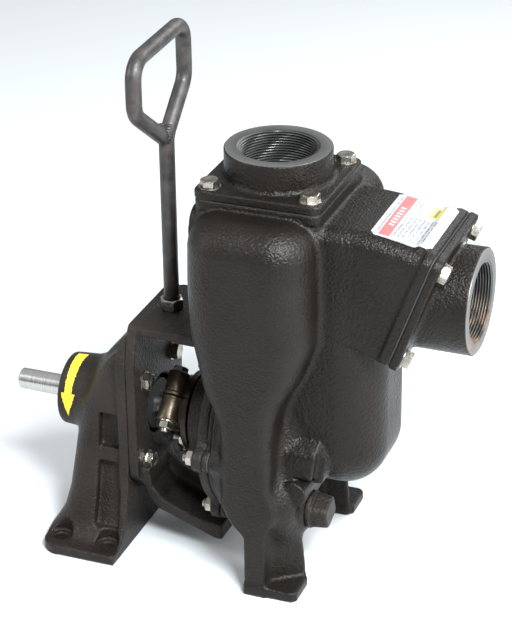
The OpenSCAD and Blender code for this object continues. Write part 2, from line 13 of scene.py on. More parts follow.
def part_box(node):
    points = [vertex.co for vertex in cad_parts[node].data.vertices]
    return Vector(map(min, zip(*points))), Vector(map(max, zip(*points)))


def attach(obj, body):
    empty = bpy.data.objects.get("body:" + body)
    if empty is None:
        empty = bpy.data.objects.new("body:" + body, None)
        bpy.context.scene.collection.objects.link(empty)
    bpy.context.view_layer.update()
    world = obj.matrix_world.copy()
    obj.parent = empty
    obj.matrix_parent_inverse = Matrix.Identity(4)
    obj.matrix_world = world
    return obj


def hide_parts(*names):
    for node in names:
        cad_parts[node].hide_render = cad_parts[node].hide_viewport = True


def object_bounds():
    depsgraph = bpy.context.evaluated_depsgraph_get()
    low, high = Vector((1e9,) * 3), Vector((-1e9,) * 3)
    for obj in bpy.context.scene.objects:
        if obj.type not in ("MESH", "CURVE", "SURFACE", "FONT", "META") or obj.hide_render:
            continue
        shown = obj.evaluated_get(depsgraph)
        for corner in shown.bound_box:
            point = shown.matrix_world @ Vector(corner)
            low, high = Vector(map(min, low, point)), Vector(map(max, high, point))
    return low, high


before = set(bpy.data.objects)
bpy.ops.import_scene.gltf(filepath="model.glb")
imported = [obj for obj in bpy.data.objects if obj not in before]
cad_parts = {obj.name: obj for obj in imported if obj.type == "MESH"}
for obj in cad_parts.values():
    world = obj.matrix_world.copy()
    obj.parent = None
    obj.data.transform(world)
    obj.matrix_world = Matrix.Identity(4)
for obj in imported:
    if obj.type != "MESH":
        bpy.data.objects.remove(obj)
cad_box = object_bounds()

# ---------- places taken from the frame ----------

MM = 0.001
flange_low, flange_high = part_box("discharge_flange")
PORT_X = (flange_low.x + flange_high.x) / 2


def span(node):
    """Lowest and highest corner of a CAD node, in millimetres from the discharge port's axis."""
    low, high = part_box(node)
    shift = np.array([PORT_X, 0, 0])
    return (np.array(low) - shift) / MM, (np.array(high) - shift) / MM


SHAFT_Z = sum(span("water_slinger")[i][2] for i in (0, 1)) / 2
FLANGE_HALF = span("discharge_flange")[1][0]
SEAT_Z = span("discharge_flange")[0][2]
PORT_FACE_Z = span("discharge_flange")[1][2]
SUCTION_FACE_X = span("suction_flange")[1][0]
TOWER_HALF_Y = span("casing")[1][1]
RIM_X = -44
BACK_FLANGE_X = span("back_plate")[0][0] + 46
ADAPTER_FACE_X = -64
MATING_X = span("adapter_bracket")[0][0]
ADAPTER_HALF_Y = 69
ADAPTER_TOP = 285
HOUSING_X = -266
FOOT_HALF_Y = span("bearing_pedestal")[1][1]
FOOT_LEFT_X = -260.5
GLAND_X = -108
HANDLE_X = sum(span("lifting_handle")[i][0] for i in (0, 1)) / 2
GRIP_Z = span("lifting_handle")[1][2]

DRAIN_X, DRAIN_Y, DRAIN_Z = 56, -54, 86
BORE_R = 42.5
PORT_BOSS_R = 60
PLATE_T = 10
GASKET_T = 1.6
FLANGE_CORNER_R = 12
FLANGE_BOLT = 57.7
SUCTION_Z = 355
SUCTION_TILT = math.radians(20)
SUCTION_CENTRE = np.array([184.2, 0, 357.4])
VOLUTE_R = 108
TANK_HALF_Y = 70
TANK_LOW_Z = 118
TANK_RIGHT_X = 137
TANK_ROUND = 50
WALL = 8
STUD_RING_R = 105.5
STUD_LUG_R = 12.5
SPOT_R = 14
BACK_FLANGE_T = 6.5
ADAPTER_T = 12
TOP_PLATE_T = 10
FOOT_T = 12
ROD_R = 8.9


# ---------- distance fields, in millimetres, negative inside ----------

def smooth_min(a, b, k):
    h = np.maximum(k - np.abs(a - b), 0) / k
    return np.minimum(a, b) - h * h * k / 4


def joined(k, *fields):
    """Union of fields with a cast fillet about k wide where they meet."""
    total = fields[0]
    for field in fields[1:]:
        total = smooth_min(total, field, k)
    return total


def grown(body, *steps):
    """Body with (fillet, field) steps joined on in order."""
    for k, field in steps:
        body = smooth_min(body, field, k)
    return body


def carved(body, k, *cuts):
    """Body less the cuts, with its cut edges eased over k."""
    for cut in cuts:
        body = -smooth_min(-body, cut, k)
    return body


def both(a, b, r):
    """Intersection of two fields, its edge rounded to radius r."""
    return np.minimum(-r, np.maximum(a, b)) + np.hypot(np.maximum(a + r, 0), np.maximum(b + r, 0))


def block(x, y, z, low, high, r):
    qx, qy, qz = (np.abs(v - (a + b) / 2) - (b - a) / 2 + r for v, a, b in zip((x, y, z), low, high))
    outside = np.sqrt(np.maximum(qx, 0) ** 2 + np.maximum(qy, 0) ** 2 + np.maximum(qz, 0) ** 2)
    return outside + np.minimum(np.maximum(np.maximum(qx, qy), qz), 0) - r


def pad(u, v, half_u, half_v, r):
    """Flat rounded rectangle about the origin of u and v."""
    qu, qv = np.abs(u) - half_u + r, np.abs(v) - half_v + r
    return np.hypot(np.maximum(qu, 0), np.maximum(qv, 0)) + np.minimum(np.maximum(qu, qv), 0) - r


def flange_plan(u, v, half=FLANGE_HALF):
    return pad(u, v, half, half, FLANGE_CORNER_R)


def bolt_spots(u, v):
    """The spot faces round a port flange's four bolts."""
    return np.hypot(np.abs(u) - FLANGE_BOLT, np.abs(v) - FLANGE_BOLT) - SPOT_R


def slab(flat, along, start, end, r):
    """A flat field given thickness between start and end of `along`."""
    return both(flat, np.abs(along - (start + end) / 2) - (end - start) / 2, r)


def inset(corners, r):
    """A counter-clockwise outline moved inwards by r."""
    p = np.asarray(corners, float)
    run = np.roll(p, -1, 0) - p
    run /= np.linalg.norm(run, axis=1)[:, None]
    inward = np.stack([-run[:, 1], run[:, 0]], 1)
    before = np.roll(inward, 1, 0)
    return p + r * (before + inward) / (1 + (before * inward).sum(1))[:, None]


def outline(u, v, corners, r=0):
    """Distance to a closed counter-clockwise outline, its outer corners rounded to r."""
    points = inset(corners, r)
    nearest = np.full(np.broadcast(u, v).shape, np.inf)
    inside = np.zeros(nearest.shape, bool)
    for (u0, v0), (u1, v1) in zip(points, np.roll(points, -1, 0)):
        du, dv = u1 - u0, v1 - v0
        t = np.clip(((u - u0) * du + (v - v0) * dv) / (du * du + dv * dv), 0, 1)
        nearest = np.minimum(nearest, np.hypot(u - u0 - t * du, v - v0 - t * dv))
        if dv != 0:
            inside ^= ((v0 > v) != (v1 > v)) & (u < u0 + du * (v - v0) / dv)
    return np.where(inside, -nearest, nearest) - r


def drum_x(x, y, z, start, end, radius, r, cy=0, cz=SHAFT_Z):
    """Drum that lies along the shaft's direction."""
    return slab(np.hypot(y - cy, z - cz) - radius, x, start, end, r)


def profile(knots, blur):
    """A smooth curve through (height, value) knots, eased over `blur` millimetres."""
    heights = np.arange(-100, 700.0)
    values = np.interp(heights, *zip(*knots))
    kernel = np.hanning(2 * blur + 1)
    values = np.convolve(np.pad(values, blur, mode="edge"), kernel / kernel.sum(), mode="valid")
    return lambda z: np.interp(z, heights, values)


def stud_places():
    """Across and height of the six studs round the shaft."""
    angles = [math.radians(60 * i) for i in range(6)]
    return [(STUD_RING_R * math.cos(angle), SHAFT_Z + STUD_RING_R * math.sin(angle)) for angle in angles]


def stud_drums(x, y, z, start, end, radius, r):
    return [drum_x(x, y, z, start, end, radius, r, *place) for place in stud_places()]


# ---------- meshing ----------

def surface_net(field, low, high, step):
    """Mesh of the surface where field(x, y, z) is zero, in quads about `step` across."""
    axes = [np.arange(a - 1.5 * step, b + 2.5 * step, step) for a, b in zip(low, high)]
    values = field(*np.meshgrid(*axes, indexing="ij", sparse=True))
    inside = values < 0
    shape = values.shape
    corners = [np.array((i, j, k)) for i in (0, 1) for j in (0, 1) for k in (0, 1)]

    def shifted(array, c):
        return array[c[0]:shape[0] - 1 + c[0], c[1]:shape[1] - 1 + c[1], c[2]:shape[2] - 1 + c[2]]

    count = sum(shifted(inside, c).astype(np.int8) for c in corners)
    cells = np.argwhere((count > 0) & (count < 8))
    number = np.full(count.shape, -1)
    number[tuple(cells.T)] = np.arange(len(cells))
    at = [values[tuple((cells + c).T)] for c in corners]
    total = np.zeros((len(cells), 3))
    crossings = np.zeros(len(cells))
    for a in range(8):
        for b in range(a + 1, 8):
            if np.abs(corners[b] - corners[a]).sum() != 1:
                continue
            cross = (at[a] < 0) != (at[b] < 0)
            t = np.where(cross, at[a] / np.where(cross, at[a] - at[b], 1), 0)
            total += (corners[a] + t[:, None] * (corners[b] - corners[a])) * cross[:, None]
            crossings += cross
    points = np.array([axis[0] for axis in axes]) + step * (cells + total / crossings[:, None])

    quads = []
    for axis in range(3):
        u, v = (axis + 1) % 3, (axis + 2) % 3
        first = np.take(inside, range(shape[axis] - 1), axis)
        second = np.take(inside, range(1, shape[axis]), axis)
        edge = np.argwhere(first != second)
        at_u, at_v = edge[:, u], edge[:, v]
        edge = edge[(at_u > 0) & (at_v > 0) & (at_u < shape[u] - 1) & (at_v < shape[v] - 1)]
        around = []
        for back_u, back_v in ((1, 1), (0, 1), (0, 0), (1, 0)):
            cell = edge.copy()
            cell[:, u] -= back_u
            cell[:, v] -= back_v
            around.append(number[tuple(cell.T)])
        quad = np.stack(around, 1)
        outward = first[tuple(edge.T)]
        quads.append(np.where(outward[:, None], quad, quad[:, ::-1]))
    return settled(field, points, step), np.concatenate(quads)


def settled(field, points, step):
    """Moves the points of a net onto the true surface, by at most half a cell."""
    nudge = step * 0.05
    for _ in range(2):
        value = field(*points.T)
        slope = np.stack([(field(*(points + nudge * axis).T) - value) / nudge for axis in np.eye(3)], 1)
        move = -slope * (value / np.maximum((slope ** 2).sum(1), 0.2))[:, None]
        length = np.linalg.norm(move, axis=1)[:, None]
        points = points + move * np.minimum(1, 0.45 * step / np.maximum(length, 1e-9))
    return points


def ring_quads(rings, sides):
    """Quads between each ring of points and the next."""
    k = np.arange(sides)
    after = (k + 1) % sides
    start = np.arange(rings - 1)[:, None] * sides
    return np.stack([start + k, start + after, start + sides + after, start + sides + k], -1).reshape(-1, 4)


def grid_quads(shape):
    """Quads of a grid of points, as an array one row and one column smaller."""
    rows, columns = shape
    first = np.arange(rows - 1)[:, None] * columns + np.arange(columns - 1)
    return np.stack([first, first + 1, first + columns + 1, first + columns], -1)


def revolved(rows, segments=96):
    """Mesh round +Z from (radius, height) rows; a radius may be an array with one value a segment."""
    angle = np.arange(segments) * 2 * np.pi / segments
    rings = [np.stack([r * np.cos(angle), r * np.sin(angle), np.full(segments, float(z))], 1)
             for r, z in rows]
    return np.concatenate(rings), ring_quads(len(rows), segments)


def combined(*meshes):
    """Several (points, quads) meshes as one."""
    points, quads, start = [], [], 0
    for p, q in meshes:
        points.append(p)
        quads.append(q + start)
        start += len(p)
    return np.concatenate(points), np.concatenate(quads)


def moved(mesh, origin, turn=None):
    """A mesh turned by a 3x3 matrix and moved to origin."""
    points, quads = mesh
    if turn is not None:
        points = points @ np.asarray(turn).T
    return points + np.asarray(origin, float), quads


ALONG_X = np.array([[0, 0, 1], [0, 1, 0], [-1, 0, 0]], float)
AGAINST_X = ALONG_X @ np.diag([1, -1, -1])
ON_SUCTION = np.array(Matrix.Rotation(math.pi / 2 + SUCTION_TILT, 3, "Y"))
ABOUT_SHAFT = np.array(Matrix.Rotation(math.radians(-45), 3, "X"))


def make(name, mesh, material, body="frame", replaces=(), sharp=40):
    points, quads = mesh
    data = bpy.data.meshes.new(name)
    points = np.clip(points * MM + np.array([PORT_X, 0, 0]), np.array(cad_box[0]), np.array(cad_box[1]))
    data.from_pydata(points.tolist(), [], quads.tolist())
    piece = bpy.data.objects.new(name, data)
    bpy.context.scene.collection.objects.link(piece)
    clean(data)
    data.shade_smooth()
    if sharp:
        data.set_sharp_from_angle(angle=math.radians(sharp))
    data.materials.append(material)
    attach(piece, body)
    for node in replaces:
        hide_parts(node)
    return piece


def clean(data):
    """Welds coincident points, drops collapsed faces."""
    work = bmesh.new()
    work.from_mesh(data)
    bmesh.ops.remove_doubles(work, verts=work.verts, dist=1e-6)
    bmesh.ops.dissolve_degenerate(work, edges=work.edges, dist=1e-7)
    work.to_mesh(data)
    work.free()


# ---------- materials ----------

class Finish:
    """A procedural material: a Principled shader and short ways to build what feeds it."""

    def __init__(self, name, **constants):
        self.material = bpy.data.materials.new(name)
        self.material.use_nodes = True
        self.nodes = self.material.node_tree.nodes
        self.links = self.material.node_tree.links
        self.shader = self.nodes["Principled BSDF"]
        self.place = self.nodes.new("ShaderNodeTexCoord").outputs["Object"]
        for socket, value in constants.items():
            self.shader.inputs[socket.replace("_", " ")].default_value = value

    def feed(self, socket, source):
        if hasattr(source, "is_output"):
            self.links.new(source, socket)
        else:
            socket.default_value = source

    def stretched(self, x, y, z):
        node = self.nodes.new("ShaderNodeMapping")
        node.inputs["Scale"].default_value = (x, y, z)
        self.links.new(self.place, node.inputs["Vector"])
        return node.outputs["Vector"]

    def noise(self, scale, detail=2, rough=0.5, where=None):
        node = self.nodes.new("ShaderNodeTexNoise")
        self.links.new(where or self.place, node.inputs["Vector"])
        node.inputs["Scale"].default_value = scale
        node.inputs["Detail"].default_value = detail
        node.inputs["Roughness"].default_value = rough
        return node.outputs["Fac"]

    def cells(self, scale, where=None):
        node = self.nodes.new("ShaderNodeTexVoronoi")
        node.feature = "SMOOTH_F1"
        self.links.new(where or self.place, node.inputs["Vector"])
        node.inputs["Scale"].default_value = scale
        return node.outputs["Distance"]

    def edges(self):
        """Pointiness: high on outer edges and thread crests, low in corners and thread roots."""
        return self.nodes.new("ShaderNodeNewGeometry").outputs["Pointiness"]

    def thread_shade_and_highlight(self, colour):
        """Painted shade at the root of a thread and a painted highlight along its crest."""
        edges = self.edges()
        colour = self.mix(self.range(edges, 0.50, 0.44, 0, 0.95), colour, (0.006, 0.006, 0.006))
        return self.mix(self.range(edges, 0.53, 0.58, 0, 0.8), colour, (0.20, 0.19, 0.18))

    def part(self, axis):
        split = self.nodes.new("ShaderNodeSeparateXYZ")
        self.links.new(self.place, split.inputs[0])
        return split.outputs[axis]

    def sum(self, kind, a, b=0.0, c=0.0):
        node = self.nodes.new("ShaderNodeMath")
        node.operation = kind
        for socket, value in zip(node.inputs, (a, b, c)):
            self.feed(socket, value)
        return node.outputs[0]

    def ramp(self, source, *stops):
        """Colour ramp from (position, colour) stops; a bare number is a grey."""
        node = self.nodes.new("ShaderNodeValToRGB")
        self.feed(node.inputs["Fac"], source)
        ramp = node.color_ramp
        while len(ramp.elements) < len(stops):
            ramp.elements.new(0.5)
        for element, (position, colour) in zip(ramp.elements, stops):
            element.position = position
            element.color = (*colour, 1) if isinstance(colour, tuple) else (colour, colour, colour, 1)
        return node.outputs["Color"]

    def mix(self, amount, a, b, kind="MIX"):
        node = self.nodes.new("ShaderNodeMix")
        node.data_type = "RGBA"
        node.blend_type = kind
        self.feed(node.inputs["Factor"], amount)
        self.feed(node.inputs["A"], a if hasattr(a, "is_output") else (*a, 1))
        self.feed(node.inputs["B"], b if hasattr(b, "is_output") else (*b, 1))
        return node.outputs["Result"]

    def range(self, source, low, high, to_low, to_high):
        node = self.nodes.new("ShaderNodeMapRange")
        for key, value in (("Value", source), ("From Min", low), ("From Max", high),
                           ("To Min", to_low), ("To Max", to_high)):
            self.feed(node.inputs[key], value)
        return node.outputs["Result"]

    def spread(self, source, low=0, high=1):
        """The middle part of a noise, stretched to run from low to high."""
        return self.range(source, 0.3, 0.7, low, high)

    def bump(self, height, strength, depth, under=None):
        """depth is the height of a full step of the texture, in metres."""
        node = self.nodes.new("ShaderNodeBump")
        node.inputs["Strength"].default_value = strength
        node.inputs["Distance"].default_value = depth
        self.links.new(height, node.inputs["Height"])
        if under is not None:
            self.links.new(under, node.inputs["Normal"])
        return node.outputs["Normal"]

    def grainy(self, colour, grain, gloss, metallic, *relief):
        """Ends a finish whose gloss and relief both come from one fine grain."""
        return self.wear(colour, self.spread(grain, *gloss), metallic, self.bump(grain, *relief))

    def wear(self, colour=None, roughness=None, metallic=None, normal=None):
        for key, value in (("Base Color", colour), ("Roughness", roughness), ("Metallic", metallic),
                           ("Normal", normal)):
            if value is not None:
                self.feed(self.shader.inputs[key], value)
        return self.material


def painted_iron(name, dark, light, roughness, grain):
    """Black enamel over sand-cast iron: orange-peel skin, uneven gloss, outer edges lighter from paint wear
    and a painted highlight.
    """
    f = Finish(name, Specular_IOR_Level=0.21, Specular_Tint=(1, 0.94, 0.89, 1))
    cloud = f.noise(14, 3)
    skin = f.noise(420, 3, 0.6)
    lumps = f.noise(90, 2)
    pits = f.cells(330)
    colour = f.mix(f.range(cloud, 0.35, 0.7, 0, 1), dark, light)
    # Outer edges lighter: paint wear along them, plus a painted highlight
    worn_edge_and_highlight = f.range(f.sum("ADD", f.edges(), f.sum("MULTIPLY", f.noise(160, 2), 0.05)), 0.57, 0.68, 0, 0.35)
    colour = f.mix(worn_edge_and_highlight, colour, tuple(min(1, 2.6 * v + 0.01) for v in light))
    dust = f.range(f.edges(), 0.47, 0.40, 0, 0.35)
    colour = f.mix(dust, colour, (0.020, 0.016, 0.013))
    gloss = f.sum("ADD", f.spread(cloud, roughness - 0.05, roughness + 0.07), f.spread(skin, -0.05, 0.05))
    height = f.sum("ADD", f.sum("MULTIPLY", skin, 0.7), f.sum("MULTIPLY", pits, 0.5))
    normal = f.bump(lumps, 0.5, 0.0009 * grain)
    normal = f.bump(height, 1.0, 0.0014 * grain, normal)
    return f.wear(colour, gloss, 0.0, normal)


def machined_iron():
    """Turned grey iron with a thin oil film, painted shade in its thread roots and painted highlights on the
    crests.
    """
    f = Finish("machined_iron", Anisotropic=0.3)
    cloud = f.noise(40, 3)
    fine = f.noise(700, 2)
    colour = f.mix(f.spread(cloud), (0.034, 0.032, 0.030), (0.066, 0.063, 0.058))
    # Painted shade in the thread roots, painted highlight on the crests
    colour = f.thread_shade_and_highlight(colour)
    return f.grainy(colour, fine, (0.34, 0.5), 0.75, 0.25, 0.0001)


def rusted_threads():
    """The suction port's threads, with brown rust low in the bore."""
    f = Finish("suction_thread_iron")
    cloud = f.noise(60, 4, 0.6)
    low = f.range(f.part("Z"), (SUCTION_Z - 10) * MM, (SUCTION_Z - 36) * MM, 0, 1)
    rust = f.sum("MULTIPLY", low, f.range(cloud, 0.42, 0.6, 0, 0.75))
    # Rust colour, then painted shade in the thread roots and painted highlight on the crests
    colour = f.thread_shade_and_highlight(f.mix(rust, (0.05, 0.048, 0.044), (0.16, 0.08, 0.03)))
    gloss, metal = f.range(rust, 0, 1, 0.42, 0.75), f.range(rust, 0, 1, 0.7, 0.1)
    return f.wear(colour, gloss, metal, f.bump(cloud, 0.3, 0.0003))


def zinc_steel():
    """Bright zinc plate with a warm tint and faint handling marks."""
    f = Finish("zinc_steel")
    cloud = f.noise(120, 3)
    marks = f.noise(900, 2)
    colour = f.mix(f.range(cloud, 0.35, 0.65, 0, 1), (0.27, 0.24, 0.20), (0.42, 0.39, 0.34))
    return f.grainy(colour, marks, (0.22, 0.38), 1.0, 0.3, 0.00012)


def ground_steel():
    """Shaft steel, ground round: fine rings across its length."""
    f = Finish("ground_steel", Anisotropic=0.5)
    rings = f.noise(60, 2, 0.5, f.stretched(60, 0.4, 0.4))
    colour = f.mix(f.spread(rings), (0.40, 0.39, 0.37), (0.58, 0.56, 0.53))
    return f.grainy(colour, rings, (0.2, 0.34), 1.0, 0.15, 0.00004)


def plain_steel(name, tint, roughness):
    f = Finish(name)
    cloud = f.noise(90, 3)
    colour = f.mix(cloud, tuple(v * 0.75 for v in tint), tint)
    return f.wear(colour, f.spread(cloud, roughness - 0.06, roughness + 0.08), 1.0,
                  f.bump(f.noise(600), 0.2, 0.0001))


def bronze():
    """Brown tarnished bronze, brighter where it was turned or worn; its flange nearly black from dark paint
    and painted shade.
    """
    f = Finish("gland_bronze")
    cloud = f.noise(70, 4, 0.6)
    fine = f.noise(500, 3)
    colour = f.mix(f.range(cloud, 0.35, 0.65, 0, 1), (0.045, 0.032, 0.022), (0.13, 0.100, 0.068))
    colour = f.mix(f.range(f.edges(), 0.53, 0.60, 0, 0.6), colour, (0.33, 0.26, 0.18))
    # Flange end made nearly black: partly its dark paint, partly painted shade behind the clamp lugs
    flange = f.range(f.part("X"), PORT_X + (GLAND_X - 4) * MM, PORT_X + (GLAND_X - 1) * MM, 0, 0.85)
    colour = f.mix(flange, colour, (0.018, 0.014, 0.012))
    return f.grainy(colour, fine, (0.32, 0.5), 0.85, 0.35, 0.0002)


def rod_steel():
    """Hot-rolled rod: grey-brown mill scale with fine streaks along it."""
    f = Finish("rod_steel")
    cloud = f.noise(55, 4, 0.6)
    scale = f.noise(420, 3)
    colour = f.mix(f.range(cloud, 0.35, 0.7, 0, 1), (0.020, 0.018, 0.017), (0.060, 0.050, 0.044))
    return f.grainy(colour, scale, (0.36, 0.56), 0.35, 0.4, 0.0002)


def rubber():
    f = Finish("black_rubber")
    fine = f.noise(800, 2)
    colour = f.mix(fine, (0.010, 0.010, 0.010), (0.024, 0.023, 0.022))
    return f.grainy(colour, fine, (0.6, 0.8), 0.0, 0.3, 0.0001)


def gasket_sheet():
    f = Finish("gasket_sheet")
    fibre = f.noise(600, 3, 0.6, f.stretched(1, 1, 4))
    colour = f.mix(fibre, (0.012, 0.012, 0.013), (0.035, 0.034, 0.033))
    return f.wear(colour, 0.75, 0.0, f.bump(fibre, 0.4, 0.0002))


def packing_fibre():
    f = Finish("packing_fibre")
    braid = f.cells(420)
    colour = f.mix(braid, (0.20, 0.18, 0.14), (0.62, 0.58, 0.48))
    return f.wear(colour, 0.85, 0.0, f.bump(braid, 0.6, 0.0005))


def arrow_paint():
    """Yellow marking paint, worn thin in specks."""
    f = Finish("arrow_paint")
    cloud = f.noise(160, 3)
    specks = f.range(f.noise(520, 3, 0.7), 0.63, 0.68, 0, 0.85)
    colour = f.mix(f.spread(cloud), (0.78, 0.50, 0.010), (0.90, 0.66, 0.03))
    colour = f.mix(specks, colour, (0.05, 0.04, 0.02))
    return f.wear(colour, f.spread(cloud, 0.4, 0.6), 0.0, f.bump(f.noise(700), 0.3, 0.0002))


# Where the label lies on the tank's roof, in millimetres
LABEL_X = (123.0, 191.0)
LABEL_HALF_Y = 55.0
LABEL_CORNER_R = 4


def label_vinyl():
    """White vinyl with a red band, rows of grey bars and a yellow patch: a plain stand-in, no lettering."""
    f = Finish("label_vinyl", Coat_Weight=0.3, Coat_Roughness=0.15)
    across = f.range(f.part("X"), PORT_X + LABEL_X[0] * MM, PORT_X + LABEL_X[1] * MM, 0, 1)
    along = f.range(f.part("Y"), -LABEL_HALF_Y * MM, LABEL_HALF_Y * MM, 0, 1)

    def between(source, low, high):
        return f.sum("MULTIPLY", f.sum("GREATER_THAN", source, low), f.sum("LESS_THAN", source, high))

    def patch(a0, a1, b0, b1):
        return f.sum("MULTIPLY", between(across, a0, a1), between(along, b0, b1))

    def stripes(source, count):
        return f.sum("LESS_THAN", f.sum("FRACT", f.sum("MULTIPLY", source, count)), 0.5)

    broken = f.sum("GREATER_THAN", f.noise(330, 1, 0.5, f.stretched(2.2, 1, 0.1)), 0.44)
    rows = f.sum("MULTIPLY", stripes(across, 15), broken)
    colour = f.mix(f.noise(40), (0.28, 0.28, 0.29), (0.31, 0.31, 0.31))
    for area, ink, shade in ((patch(0.30, 0.93, 0.06, 0.60), 0.85, (0.08, 0.08, 0.09)),
                             (patch(0.05, 0.24, 0.08, 0.94), 0.7, (0.1, 0.1, 0.1)),
                             (patch(0.30, 0.66, 0.62, 0.94), 0.7, (0.1, 0.1, 0.1))):
        colour = f.mix(f.sum("MULTIPLY", f.sum("MULTIPLY", rows, area), ink), colour, shade)
    colour = f.mix(patch(0.12, 0.30, 0.03, 0.97), colour, (0.35, 0.075, 0.07))
    ticks = f.sum("MULTIPLY", stripes(along, 15), patch(0.17, 0.25, 0.27, 0.73))
    colour = f.mix(ticks, colour, (0.38, 0.33, 0.33))
    colour = f.mix(patch(0.62, 0.80, 0.66, 0.93), colour, (0.36, 0.32, 0.05))
    colour = f.mix(patch(0.68, 0.74, 0.70, 0.89), colour, (0.12, 0.11, 0.05))
    return f.wear(colour, f.spread(f.noise(60), 0.3, 0.4), 0.0, f.bump(f.noise(45, 2), 0.25, 0.0006))


CASING_PAINT = painted_iron("casing_iron", (0.0055, 0.0040, 0.0031), (0.0085, 0.0066, 0.0053), 0.34, 1.0)
BRACKET_PAINT = painted_iron("bracket_iron", (0.0085, 0.0062, 0.0048), (0.0170, 0.0130, 0.0104), 0.42, 1.2)
MACHINED = machined_iron()
SUCTION_THREADS = rusted_threads()
ZINC = zinc_steel()
GROUND = ground_steel()
BEARING = plain_steel("bearing_steel", (0.62, 0.62, 0.61), 0.22)
IMPELLER = plain_steel("impeller_iron", (0.20, 0.19, 0.18), 0.5)
BRONZE = bronze()
ROD = rod_steel()
RUBBER = rubber()
GASKET = gasket_sheet()
FIBRE = packing_fibre()
VINYL = label_vinyl()
ARROW = arrow_paint()


# ---------- casing ----------

tower_left = profile([(0, 0), (76, 0), (88, -14), (104, -24), (111, -29), (204, -30), (230, -40), (251, -51),
                      (283, -59), (316, -68), (352, -71), (377, -72), (452, -71)], 9)
tower_right = profile([(0, 24.6), (80, 24.6), (104, 34), (135, 30), (190, 30), (223, 33), (244, 41),
                       (273, 57), (314, 71), (362, 72), (452, 70)], 10)
tower_half_y = profile([(0, 122.6), (110, 122.6), (230, 124.5), (330, TOWER_HALF_Y), (452, TOWER_HALF_Y)], 20)
tower_corner = profile([(0, 2.5), (84, 2.5), (130, 12), (200, 17), (270, 30), (340, 42), (452, 46)], 15)
TOWER_TOP = 453
TOWER_SHOULDER = 34
NECK_LOW_Z = 419
LIP_LOW_Z = 449.5
ROOF_Z = 446
SUMP_Y, SUMP_Z = -66, 103
DISC_X, DISC_Z = 49, 126


def tower(x, y, z):
    left, right, corner = tower_left(z), tower_right(z), tower_corner(z)
    right = right + 22 * np.clip((y - 10) / 60, 0, 1) ** 2 * np.clip((z - 290) / 80, 0, 1)
    plan = pad(x - (left + right) / 2, y, (right - left) / 2, tower_half_y(z), corner)
    return both(plan, z - TOWER_TOP, TOWER_SHOULDER)


def suction_places(x, z):
    """Height off the leaning suction flange's outer face, and distance down along it."""
    dx, dz = x - SUCTION_CENTRE[0], z - SUCTION_CENTRE[2]
    c, s = math.cos(SUCTION_TILT), math.sin(SUCTION_TILT)
    return dx * c - dz * s, -dx * s - dz * c


def tank(x, y, z):
    """Chamber beside the tower, and the sloping head that carries the suction flange."""
    out, down = suction_places(x, z)
    chamber = block(x, y, z, (-60, -TANK_HALF_Y, TANK_LOW_Z), (TANK_RIGHT_X, TANK_HALF_Y, 520), TANK_ROUND)
    slope = (x - 118) * 0.204 + (z - ROOF_Z) * 0.979
    roof = -smooth_min(ROOF_Z - z, -slope, 6)
    # Nothing limits the head toward -x: its end stands out of the tower's far face, a known fault
    head = both(both(np.abs(y) - TANK_HALF_Y, out + 14, 10), down - 71, 4)
    return both(smooth_min(chamber, head, 5), roof, 19)


def casing_cavity(x, y, z):
    out, down = suction_places(x, z)
    shell = tower(x, y, z)
    return np.minimum.reduce([
        np.maximum(shell + WALL + 1, 170 - z),
        np.maximum(tank(x, y, z) + WALL, -shell + 1),
        drum_x(x, y, z, -90, 18, 95, 2),
        drum_x(x, y, z, 0, 42, 41, 2),
        slab(np.hypot(x, y) - 52, z, 420, 500, 1),
        np.maximum(np.hypot(y, down) - 56, np.abs(out + 20) - 24),
    ])


